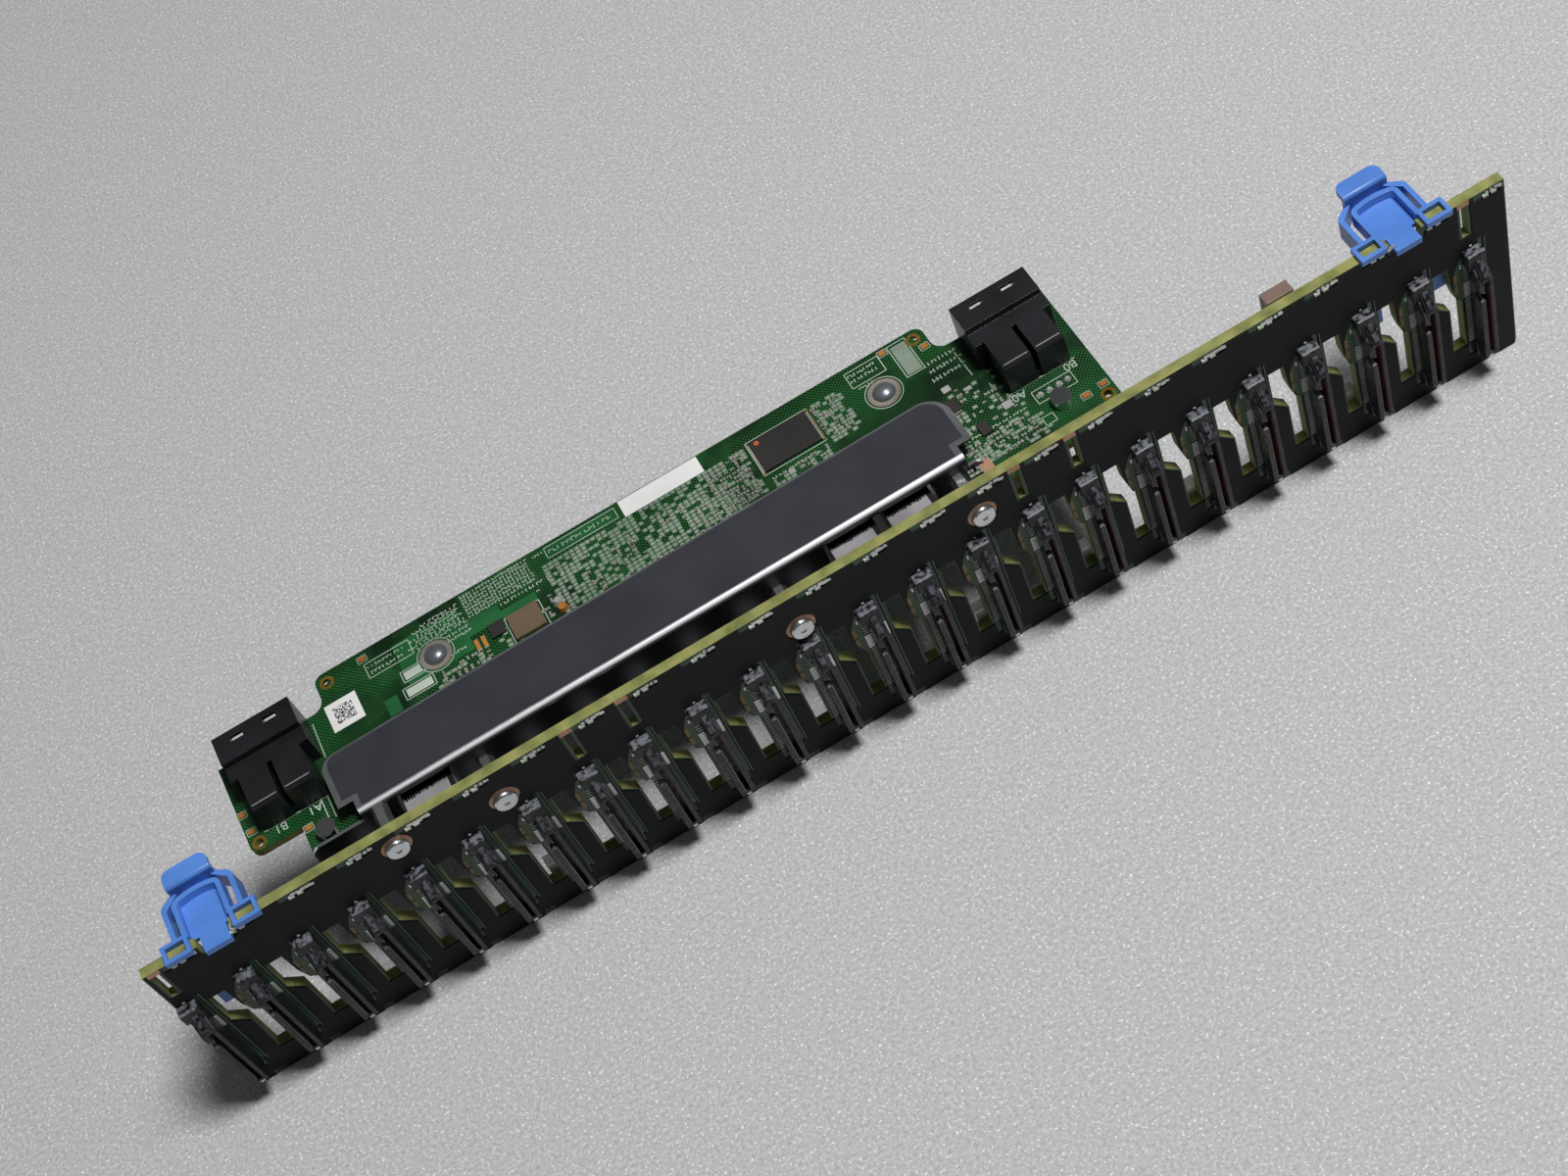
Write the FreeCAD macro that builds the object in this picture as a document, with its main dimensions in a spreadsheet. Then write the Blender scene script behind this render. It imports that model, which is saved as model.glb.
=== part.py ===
import FreeCAD, Part
import math
import operator
import os
from types import SimpleNamespace

import Sketcher
from FreeCAD import Vector

# A drive backplane board for a server: a long upright board with a row of drive connectors on its front,
# and a lying expander board behind it, held by a sheet-metal bracket.
#
# Frame, in millimetres: X runs along the main board and is 0 at its middle, Y is 0 at the middle of the main
# board's thickness and grows towards the expander, Z is 0 at the main board's bottom edge and grows upwards.
# Places along X are measured from the main board's left edge, and places along Y from the face that a piece
# is seated on.

SIZES = {
    # Main board.
    "board_length": 422.6,
    "board_height": 72.5,
    "board_thickness": 3.2,
    "board_corner": 2.0,
    # Row of drive connectors: eight to a group, and the groups stand a little closer together.
    "connector_first": 0.3,
    "connector_pitch": 17.8,
    "group_closing": 0.91,
    # Key-shaped vents between the connectors.
    "vent_from_leads": 7.9,
    "vent_top": 49.0,
    "vent_head_width": 4.9,
    "vent_waist_width": 5.4,
    "vent_waist_height": 40.0,
    "vent_bulge_width": 6.7,
    "vent_bulge_height": 34.2,
    "vent_shoulder_height": 33.0,
    "vent_channel_left": 4.3,
    "vent_channel_right": 8.3,
    "vent_bottom": 12.1,
    "vent_ledge_inner": 30.9,
    "vent_ledge_outer": 35.4,
    # Narrow plated slots under the top edge.
    "guide_slot_width": 2.2,
    "guide_slot_bottom": 58.5,
    "guide_slot_top": 71.0,
    "guide_slot_1": 3.0,
    "guide_slot_2": 128.7,
    "guide_slot_3": 145.8,
    "guide_slot_4": 267.8,
    "guide_slot_5": 285.3,
    "guide_slot_6": 409.5,
    # Release latches.
    "latch_left": 21.8,
    "latch_right": 391.3,
    "latch_notch_width": 10.2,
    "latch_notch_depth": 6.3,
    "latch_wall": 1.5,
    "latch_gap": 0.2,
    "loop_centre": 10.3,
    "loop_width": 8.0,
    "loop_bar": 1.2,
    "loop_top": 1.6,
    "loop_grip": 0.4,
    "leg_width": 4.2,
    "leg_bottom": 38.5,
    "tongue_width": 8.0,
    "tongue_reach": 1.9,
    "tongue_tooth": 0.5,
    "platform_thickness": 1.6,
    "platform_above_notch": 3.2,
    "cup_half_width": 7.4,
    "cup_arch": 21.7,
    "cup_centre": -6.3,
    "cup_corner": 2.5,
    "cup_height": 4.6,
    "arm_spread": 10.9,
    "arm_height": 7.0,
    "arm_back": 15.0,
    "arm_curve": 2.5,
    "lip_half_width": 6.8,
    "lip_front": 17.1,
    "lip_back": 23.0,
    "lip_top": 3.5,
    "lip_thickness": 1.8,
    "lip_corner": 2.6,
    "lip_curve": 1.2,
    # Front film.
    "film_thickness": 0.3,
    "film_margin": 0.5,
    "film_vent_gap": 0.5,
    "film_window_left": 1.0,
    "film_window_right": 6.5,
    "film_window_foot": 5.6,
    "film_window_bottom": 6.6,
    "film_window_step": 10.5,
    "film_window_neck": 53.3,
    "film_window_top": 55.0,
    "film_window_strip": 4.8,
    "film_slot_gap": 0.9,
    "film_light_width": 10.0,
    "film_light_drop": 2.7,
    "film_edge_left": 5.2,
    "film_edge_right": 8.8,
    "film_edge_height": 2.6,
    "film_loop_gap": 0.6,
    "film_screw_radius": 4.8,
    # Drive connector.
    "housing_left": 0.7,
    "housing_right": 5.2,
    "housing_bottom": 8.0,
    "housing_top": 49.0,
    "housing_depth": 8.5,
    "housing_bevel": 1.3,
    "ear_left": 0.4,
    "ear_right": 5.4,
    "ear_bottom": 48.0,
    "ear_top": 52.4,
    "ear_depth": 2.7,
    "guide_left": 2.5,
    "guide_right": 3.9,
    "guide_front": 7.4,
    "guide_top": 51.6,
    "foot_left": 0.4,
    "foot_right": 2.0,
    "foot_bottom": 7.0,
    "foot_top": 14.0,
    "foot_depth": 3.0,
    "key_left": 2.0,
    "key_width": 1.7,
    "key_depth": 6.0,
    "key_low": 11.2,
    "key_split": 36.4,
    "key_bridge": 1.3,
    "key_high": 46.2,
    "key_step": 0.9,
    "key_step_height": 3.2,
    # Status lights over each connector.
    "light_offset": 9.8,
    "light_pitch": 2.6,
    "light_length": 1.6,
    "light_height": 0.8,
    "light_thickness": 0.6,
    "light_drop": 1.5,
    # Bracket screws through the main board.
    "screw_1_x": 74.6,
    "screw_1_z": 66.0,
    "screw_2_x": 105.3,
    "screw_2_z": 60.0,
    "screw_3_x": 197.7,
    "screw_3_z": 59.0,
    "screw_4_x": 255.5,
    "screw_4_z": 61.4,
    "screw_radius": 1.5,
    "screw_clearance": 0.2,
    "screw_head_radius": 3.6,
    "screw_head_height": 2.0,
    "screw_head_edge": 0.9,
    "screw_engagement": 5.0,
    "socket_radius": 1.1,
    "socket_depth": 1.2,
    "standoff_radius": 2.5,
    "standoff_gap": 10.8,
    # Sheet-metal bracket.
    "sheet_thickness": 1.0,
    "bend_radius": 2.0,
    "flange_left": 52.6,
    "flange_right": 264.2,
    "flange_bottom": 55.6,
    "flange_low_top": 64.2,
    "flange_corner": 3.0,
    "plate_left": 64.8,
    "plate_top": 68.5,
    "plate_depth_left": 22.2,
    "plate_depth_right": 24.4,
    "plate_notch_width": 4.6,
    "plate_notch_depth": 4.7,
    "plate_corner_left": 5.0,
    "plate_corner_right": 8.0,
    "shelf_depth": 5.0,
    "shelf_width": 8.0,
    "shelf_1": 112.0,
    "shelf_2": 158.0,
    "shelf_3": 204.0,
    "window_top": 66.2,
    "window_gap": 1.3,
    "bracket_film_inset": 1.9,
    # Expander board. Its depths are measured from the main board's rear face.
    "expander_left": 37.3,
    "expander_right": 306.3,
    "expander_top": 62.0,
    "expander_thickness": 2.4,
    "expander_depth": 65.0,
    "expander_ear_depth": 53.6,
    "expander_ear_left": 71.9,
    "expander_ear_right": 271.9,
    "expander_front": 12.5,
    "expander_tab_front": 21.4,
    "expander_step_right": 265.6,
    "expander_near_front": 1.8,
    "expander_set_back": 16.4,
    "expander_corner": 3.0,
    "expander_hollow": 4.0,
    "plated_hole_radius": 1.25,
    "plated_hole_inset": 2.8,
    "near_hole_x": 303.0,
    "near_hole_y": 9.9,
    # Board-to-board connectors: a header on the main board and a socket under the expander's front edge.
    "header_1_left": 80.5,
    "header_1_right": 95.7,
    "header_2_left": 215.3,
    "header_2_right": 229.9,
    "header_3_left": 233.2,
    "header_3_right": 247.3,
    "header_bottom": 50.5,
    "header_top": 62.0,
    "header_wall": 1.0,
    "header_reach": 14.1,
    "header_mouth_depth": 6.0,
    "socket_reach": 9.5,
    "plug_gap": 0.3,
    "socket_bottom": 51.6,
    "socket_nose": 1.9,
    "socket_nose_top": 61.2,
    # Cable ports.
    "port_left": 41.5,
    "port_right": 279.2,
    "port_width": 24.2,
    "port_height": 12.7,
    "port_front": 26.4,
    "port_depth": 27.4,
    "port_block_depth": 9.8,
    "port_step_depth": 5.0,
    "port_step_height": 10.4,
    "cage_width": 8.7,
    "cage_margin": 2.6,
    "cage_height": 11.4,
    "cage_bevel": 1.0,
    "mouth_width": 8.8,
    "mouth_height": 7.4,
    "mouth_floor": 2.0,
    "mouth_depth": 15.0,
    "paddle_thickness": 1.2,
    "paddle_margin": 1.0,
    "paddle_length": 9.5,
    "latch_slot_width": 4.0,
    "latch_slot_depth": 1.6,
    "latch_bar": 1.0,
    "latch_slot_from_rear": 2.4,
    # Small parts on the expander.
    "stud_radius": 3.0,
    "stud_height": 3.0,
    "stud_1_x": 58.9,
    "stud_2_x": 291.6,
    "stud_y": 15.2,
    "fixing_1_x": 106.3,
    "fixing_2_x": 252.7,
    "fixing_y": 50.0,
    "fixing_head_radius": 3.4,
    "fixing_head_height": 2.2,
    "fixing_boss_radius": 3.2,
    "fixing_boss_height": 6.0,
    "memory_left": 212.3,
    "memory_width": 18.4,
    "memory_front": 46.3,
    "memory_depth": 12.0,
    "memory_height": 1.1,
    "controller_left": 126.2,
    "controller_front": 36.0,
    "controller_side": 13.0,
    "controller_height": 1.4,
    "small_chip_left": 262.0,
    "small_chip_front": 30.5,
    "small_chip_length": 6.0,
    "small_chip_width": 4.4,
    "small_chip_height": 1.2,
    "label_left": 171.8,
    "label_length": 25.9,
    "label_front": 58.3,
    "label_depth": 6.3,
    "label_thickness": 0.2,
    "code_left": 71.5,
    "code_side": 9.9,
    "code_front": 43.8,
    "expander_chip_left": 148.0,
    "expander_chip_front": 28.0,
    "expander_chip_side": 27.0,
    "expander_chip_height": 2.2,
    "sink_overhang": 6.5,
    "sink_base": 2.0,
    "sink_fin_height": 7.0,
    "sink_fin_thickness": 1.0,
    # Power connector behind the right half of the main board.
    "power_left": 349.6,
    "power_width": 8.6,
    "power_depth": 4.2,
    "power_bottom": 52.0,
    "power_top": 73.4,
    "power_wall": 1.4,
}
GROUPS = 3
GROUP_SIZE = 8
CONNECTORS = GROUPS * GROUP_SIZE
VENTS = CONNECTORS - 1
SINK_FINS = 10
FULL_TURN = 360

OPERATIONS = {"+": operator.add, "-": operator.sub, "*": operator.mul, "/": operator.truediv}


class Size:
    """A length, with its value and the sheet formula that gives it."""

    def __init__(self, value, formula):
        self.value = value
        self.formula = formula

    def __add__(self, other):
        return combined(self, "+", other)

    def __radd__(self, other):
        return combined(other, "+", self)

    def __sub__(self, other):
        return combined(self, "-", other)

    def __rsub__(self, other):
        return combined(other, "-", self)

    def __mul__(self, other):
        return combined(self, "*", other)

    def __rmul__(self, other):
        return combined(other, "*", self)

    def __truediv__(self, other):
        return combined(self, "/", other)

    def __neg__(self):
        return combined(0, "-", self)


def as_size(number):
    return number if isinstance(number, Size) else Size(number, str(number))


def combined(left, sign, right):
    left = as_size(left)
    right = as_size(right)
    value = OPERATIONS[sign](left.value, right.value)
    return Size(value, f"({left.formula} {sign} {right.formula})")


doc = FreeCAD.newDocument("drive_backplane_board")
sheet = doc.addObject("Spreadsheet::Sheet", "Sizes")
for row, (alias, number) in enumerate(SIZES.items(), start=1):
    sheet.set(f"A{row}", alias)
    sheet.set(f"B{row}", str(number))
    sheet.setAlias(f"B{row}", alias)
doc.recompute()
s = SimpleNamespace(**{alias: Size(number, f"Sizes.{alias}") for alias, number in SIZES.items()})
parts = []


# Places that several pieces share.

board_left = -s.board_length / 2
front_face = -s.board_thickness / 2
rear_face = s.board_thickness / 2
expander_bottom = s.expander_top - s.expander_thickness
flange_face = s.standoff_gap
flange_rear = flange_face + s.sheet_thickness
screw_places = [
    (s.screw_1_x, s.screw_1_z),
    (s.screw_2_x, s.screw_2_z),
    (s.screw_3_x, s.screw_3_z),
    (s.screw_4_x, s.screw_4_z),
]
header_spans = [
    (s.header_1_left, s.header_1_right),
    (s.header_2_left, s.header_2_right),
    (s.header_3_left, s.header_3_right),
]
latch_places = [s.latch_left, s.latch_right]
platform_low = s.platform_above_notch - s.latch_notch_depth
tooth_bottom = platform_low - s.tongue_tooth
guide_slots = [s.guide_slot_1, s.guide_slot_2, s.guide_slot_3, s.guide_slot_4, s.guide_slot_5, s.guide_slot_6]
group_step = GROUP_SIZE * s.connector_pitch - s.group_closing


def lead_column(index):
    """The place of a connector's column of leads, counted from 0, from the board's left edge."""
    group, place = divmod(index, GROUP_SIZE)
    return s.connector_first + group * group_step + place * s.connector_pitch


# Modelling helpers.


def bind(item, prop, size):
    item.setExpression(prop, as_size(size).formula)


def place(item, x=0, y=0, z=0):
    for axis, size in zip("xyz", (x, y, z)):
        bind(item, f"Placement.Base.{axis}", size)


def new_body(name, x=0, y=0, z=0):
    body = doc.addObject("PartDesign::Body", name)
    body.Label = name
    place(body, x, y, z)
    parts.append(body)
    return body


def copy_of(body, name, x=0, y=0, z=0):
    """One more piece like a body, at a place of its own."""
    copy = doc.addObject("App::Link", name)
    copy.Label = name
    copy.LinkedObject = body
    place(copy, x, y, z)
    return copy


def new_sketch(body, plane, offset=0):
    """A sketch on one of the body's own planes, moved along the plane's normal."""
    sketch = body.newObject("Sketcher::SketchObject", "Sketch")
    sketch.AttachmentSupport = [(feature, "") for feature in body.Origin.OriginFeatures if feature.Role == plane]
    sketch.MapMode = "FlatFace"
    bind(sketch, "AttachmentOffset.Base.z", offset)
    return sketch


def hold_point(sketch, curve, end, across, along):
    for kind, size in (("DistanceX", across), ("DistanceY", along)):
        number = sketch.addConstraint(Sketcher.Constraint(kind, -1, 1, curve, end, as_size(size).value))
        bind(sketch, f"Constraints[{number}]", size)


def draw_outline(sketch, corners):
    """A closed run of straight edges through the corners."""
    first = sketch.GeometryCount
    points = [Vector(as_size(across).value, as_size(along).value) for across, along in corners]
    ends = points[1:] + points[:1]
    sketch.addGeometry([Part.LineSegment(start, end) for start, end in zip(points, ends)])
    count = len(corners)
    for number in range(count):
        following = first + (number + 1) % count
        sketch.addConstraint(Sketcher.Constraint("Coincident", first + number, 2, following, 1))
    for number, (across, along) in enumerate(corners):
        hold_point(sketch, first + number, 1, across, along)


def draw_rectangle(sketch, left, right, low, high):
    draw_outline(sketch, [(left, low), (right, low), (right, high), (left, high)])


def draw_circle(sketch, across, along, radius):
    centre = Vector(as_size(across).value, as_size(along).value)
    curve = sketch.addGeometry(Part.Circle(centre, Vector(0, 0, 1), as_size(radius).value))
    hold_point(sketch, curve, 3, across, along)
    number = sketch.addConstraint(Sketcher.Constraint("Radius", curve, as_size(radius).value))
    bind(sketch, f"Constraints[{number}]", radius)


def draw_polygon(sketch, sides, radius, across=0, along=0):
    """A regular polygon, sized from its centre to its corners."""
    angles = [math.tau * side / sides for side in range(sides)]
    draw_outline(sketch, [(across + radius * math.cos(turn), along + radius * math.sin(turn)) for turn in angles])


def pad(body, sketch, length, backwards=False):
    feature = body.newObject("PartDesign::Pad", "Pad")
    feature.Profile = sketch
    feature.Reversed = backwards
    bind(feature, "Length", length)
    doc.recompute()
    return feature


def pocket(body, sketch, length=None, backwards=False):
    """Cut a sketch into the body, right through where no length is given."""
    before = body.Shape.Volume
    feature = body.newObject("PartDesign::Pocket", "Pocket")
    feature.Profile = sketch
    feature.Reversed = backwards
    if length is None:
        feature.Type = "ThroughAll"
        feature.Midplane = True
    else:
        bind(feature, "Length", length)
    doc.recompute()
    if feature.Shape.Volume > before - 1e-6:
        raise RuntimeError(f"{body.Label}: {feature.Name} cuts nothing")
    return feature


def repeat(body, feature, sketch, step, count):
    """Repeat a feature along its sketch's first axis."""
    pattern = body.newObject("PartDesign::LinearPattern", "Row")
    pattern.Originals = [feature]
    pattern.Direction = (sketch, ["H_Axis"])
    pattern.Occurrences = count
    bind(pattern, "Length", (count - 1) * step)
    body.Tip = pattern
    doc.recompute()
    return pattern


def block(body, left, right, front, back, bottom, top):
    """Add a block between six planes."""
    feature = body.newObject("PartDesign::AdditiveBox", "Block")
    bind(feature, "Length", right - left)
    bind(feature, "Width", back - front)
    bind(feature, "Height", top - bottom)
    place(feature, left, front, bottom)
    return feature


def hollow(body, left, right, front, back, bottom, top):
    """Cut away the space between six planes."""
    feature = body.newObject("PartDesign::SubtractiveBox", "Hollow")
    bind(feature, "Length", right - left)
    bind(feature, "Width", back - front)
    bind(feature, "Height", top - bottom)
    place(feature, left, front, bottom)
    return feature


def edges_at(body, direction, *points):
    """Names of the body's straight edges that run along a direction and pass through one of the points."""
    doc.recompute()
    found = []
    for number, edge in enumerate(body.Shape.Edges, start=1):
        if edge.Curve.TypeId != "Part::GeomLine":
            continue
        if abs(edge.tangentAt(edge.FirstParameter).dot(direction)) < 0.999:
            continue
        middle = body.Placement.inverse().multVec(edge.CenterOfMass)
        for point in points:
            gap = middle - point
            if (gap - direction * gap.dot(direction)).Length < 0.02:
                found.append(f"Edge{number}")
    return found


def round_edges(body, radius, direction, *points):
    """Fillet the edges that run along a direction through the points."""
    spots = [Vector(*(as_size(place).value for place in point)) for point in points]
    base = body.Tip
    names = edges_at(body, direction, *spots)
    feature = body.newObject("PartDesign::Fillet", "Rounding")
    feature.Base = (base, names)
    bind(feature, "Radius", radius)
    doc.recompute()


ALONG_X = Vector(1, 0, 0)
ALONG_Y = Vector(0, 1, 0)
ALONG_Z = Vector(0, 0, 1)


# Main board.


def vent_outline(left, gap=0):
    """The key-shaped vent right of a connector, grown outwards by a gap."""
    return [
        (left - gap, s.vent_top + gap),
        (left - gap, s.vent_ledge_outer - gap),
        (left + s.vent_channel_left - gap, s.vent_ledge_inner - gap),
        (left + s.vent_channel_left - gap, s.vent_bottom - gap),
        (left + s.vent_channel_right + gap, s.vent_bottom - gap),
        (left + s.vent_channel_right + gap, s.vent_shoulder_height),
        (left + s.vent_bulge_width, s.vent_bulge_height),
        (left + s.vent_waist_width, s.vent_waist_height),
        (left + s.vent_head_width, s.vent_top + gap),
    ]


def cut_vents(body, gap=0):
    for group in range(GROUPS):
        first = group * GROUP_SIZE
        sketch = new_sketch(body, "XZ_Plane")
        draw_outline(sketch, vent_outline(lead_column(first) + s.vent_from_leads, gap))
        vent = pocket(body, sketch)
        repeat(body, vent, sketch, s.connector_pitch, min(GROUP_SIZE, VENTS - first))


def make_main_board():
    body = new_body("main_board", board_left, rear_face)
    sketch = new_sketch(body, "XZ_Plane")
    notch_floor = s.board_height - s.latch_notch_depth
    corners = [(0, 0), (s.board_length, 0), (s.board_length, s.board_height)]
    for centre in reversed(latch_places):
        right = centre + s.latch_notch_width / 2
        left = centre - s.latch_notch_width / 2
        corners += [(right, s.board_height), (right, notch_floor), (left, notch_floor), (left, s.board_height)]
    corners.append((0, s.board_height))
    draw_outline(sketch, corners)
    pad(body, sketch, s.board_thickness)
    cut_vents(body)
    sketch = new_sketch(body, "XZ_Plane")
    for centre in guide_slots:
        draw_rectangle(
            sketch,
            centre - s.guide_slot_width / 2,
            centre + s.guide_slot_width / 2,
            s.guide_slot_bottom,
            s.guide_slot_top,
        )
    for across, height in screw_places:
        draw_circle(sketch, across, height, s.screw_radius + s.screw_clearance)
    pocket(body, sketch)
    round_edges(body, s.board_corner, ALONG_Y, (0, 0, 0), (s.board_length, 0, 0))


def make_front_film():
    body = new_body("front_film", board_left, front_face)
    top = s.board_height - s.film_margin
    sketch = new_sketch(body, "XZ_Plane")
    draw_rectangle(sketch, s.film_margin, s.board_length - s.film_margin, s.film_margin, top)
    pad(body, sketch, s.film_thickness)
    cut_vents(body, s.film_vent_gap)
    for group in range(GROUPS):
        lead = lead_column(group * GROUP_SIZE)
        window_right = lead + s.film_window_right
        light_left = lead + s.light_offset - s.film_light_width / 2
        light_floor = s.board_height - s.film_light_drop
        sketch = new_sketch(body, "XZ_Plane")
        draw_outline(sketch, [
            (lead - s.film_window_left, s.film_window_bottom),
            (lead + s.film_window_foot, s.film_window_bottom),
            (lead + s.film_window_foot, s.film_window_step),
            (window_right, s.film_window_step),
            (window_right, s.film_window_top),
            (lead + s.film_window_strip, s.film_window_top),
            (lead + s.film_window_strip, s.film_window_neck),
            (lead - s.film_window_left, s.film_window_neck),
        ])
        draw_rectangle(sketch, lead + s.film_edge_left, lead + s.film_edge_right, 0, s.film_edge_height)
        draw_rectangle(sketch, light_left, light_left + s.film_light_width, light_floor, s.board_height)
        openings = pocket(body, sketch)
        repeat(body, openings, sketch, s.connector_pitch, GROUP_SIZE)
    sketch = new_sketch(body, "XZ_Plane")
    for centre in guide_slots:
        reach = s.guide_slot_width / 2 + s.film_slot_gap
        draw_rectangle(sketch, centre - reach, centre + reach, s.guide_slot_bottom - s.film_slot_gap, s.board_height)
    for across, height in screw_places:
        draw_polygon(sketch, 12, s.film_screw_radius, across, height)
    pocket(body, sketch)
    sketch = new_sketch(body, "XZ_Plane")
    for centre in latch_places:
        reach = s.loop_centre + s.loop_width / 2 + s.film_loop_gap
        inner = s.latch_notch_width / 2 + s.film_loop_gap
        loop_floor = s.board_height - s.loop_grip - s.film_loop_gap
        notch_floor = s.board_height + tooth_bottom - s.film_loop_gap
        draw_outline(sketch, [
            (centre - reach, s.board_height),
            (centre - reach, loop_floor),
            (centre - inner, loop_floor),
            (centre - inner, notch_floor),
            (centre + inner, notch_floor),
            (centre + inner, loop_floor),
            (centre + reach, loop_floor),
            (centre + reach, s.board_height),
        ])
    pocket(body, sketch)


# Drive connectors.


def make_drive_connectors():
    body = new_body("drive_connector_01", board_left + lead_column(0), front_face)
    sketch = new_sketch(body, "YZ_Plane", s.housing_left)
    draw_outline(sketch, [
        (0, s.housing_bottom),
        (-s.housing_depth, s.housing_bottom + s.housing_bevel),
        (-s.housing_depth, s.housing_top - s.housing_bevel),
        (-s.guide_front, s.housing_top),
        (0, s.housing_top),
    ])
    pad(body, sketch, s.housing_right - s.housing_left)
    block(body, -s.ear_left, s.ear_right, -s.ear_depth, as_size(0), s.ear_bottom, s.ear_top)
    sketch = new_sketch(body, "YZ_Plane", s.guide_left)
    draw_outline(sketch, [
        (-s.ear_depth / 2, s.housing_top - s.housing_bevel),
        (-s.guide_front, s.housing_top - s.housing_bevel),
        (-s.guide_front, s.ear_bottom + s.housing_bevel),
        (-s.ear_depth, s.guide_top),
        (-s.ear_depth / 2, s.guide_top),
    ])
    pad(body, sketch, s.guide_right - s.guide_left)
    block(body, -s.foot_left, s.foot_right, -s.foot_depth, as_size(0), s.foot_bottom, s.foot_top)
    key_right = s.key_left + s.key_width
    mouth = -s.housing_depth
    floor = s.key_depth - s.housing_depth
    hollow(body, s.key_left, key_right, mouth, floor, s.key_low, s.key_split)
    hollow(body, s.key_left, key_right, mouth, floor, s.key_split + s.key_bridge, s.key_high)
    hollow(body, key_right, key_right + s.key_step, mouth, floor, s.key_low, s.key_low + s.key_step_height)
    doc.recompute()
    for index in range(1, CONNECTORS):
        name = f"drive_connector_{index + 1:02d}"
        parts.append(copy_of(body, name, board_left + lead_column(index), front_face))


# Release latches: one flexing moulding each, whose loops clip over the board's top edge.


def cup_shoulder(half, radius):
    """Where the cup's arched back meets its sides, from the board's middle plane."""
    return s.cup_centre.value + math.sqrt(radius.value**2 - half.value**2)


def draw_cup(sketch, half, radius, front):
    """A cup's plan: straight sides that end in a shallow arch at the back."""
    side = half.value
    near = front.value
    far = cup_shoulder(half, radius)
    centre = Vector(0, s.cup_centre.value)
    spread = math.acos(side / radius.value)
    bottom, right, arch, left = sketch.addGeometry([
        Part.LineSegment(Vector(-side, near), Vector(side, near)),
        Part.LineSegment(Vector(side, near), Vector(side, far)),
        Part.ArcOfCircle(Part.Circle(centre, Vector(0, 0, 1), radius.value), spread, math.pi - spread),
        Part.LineSegment(Vector(-side, far), Vector(-side, near)),
    ])
    hold_point(sketch, bottom, 1, -half, front)
    hold_point(sketch, bottom, 2, half, front)
    hold_point(sketch, arch, 3, 0, s.cup_centre)
    for end, across in ((1, half), (2, -half)):
        number = sketch.addConstraint(Sketcher.Constraint("DistanceX", -1, 1, arch, end, across.value))
        bind(sketch, f"Constraints[{number}]", across)
    number = sketch.addConstraint(Sketcher.Constraint("Radius", arch, radius.value))
    bind(sketch, f"Constraints[{number}]", radius)
    run = [bottom, right, arch, left]
    for curve, following in zip(run, run[1:] + run[:1]):
        sketch.addConstraint(Sketcher.Constraint("Coincident", curve, 2, following, 1))


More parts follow.
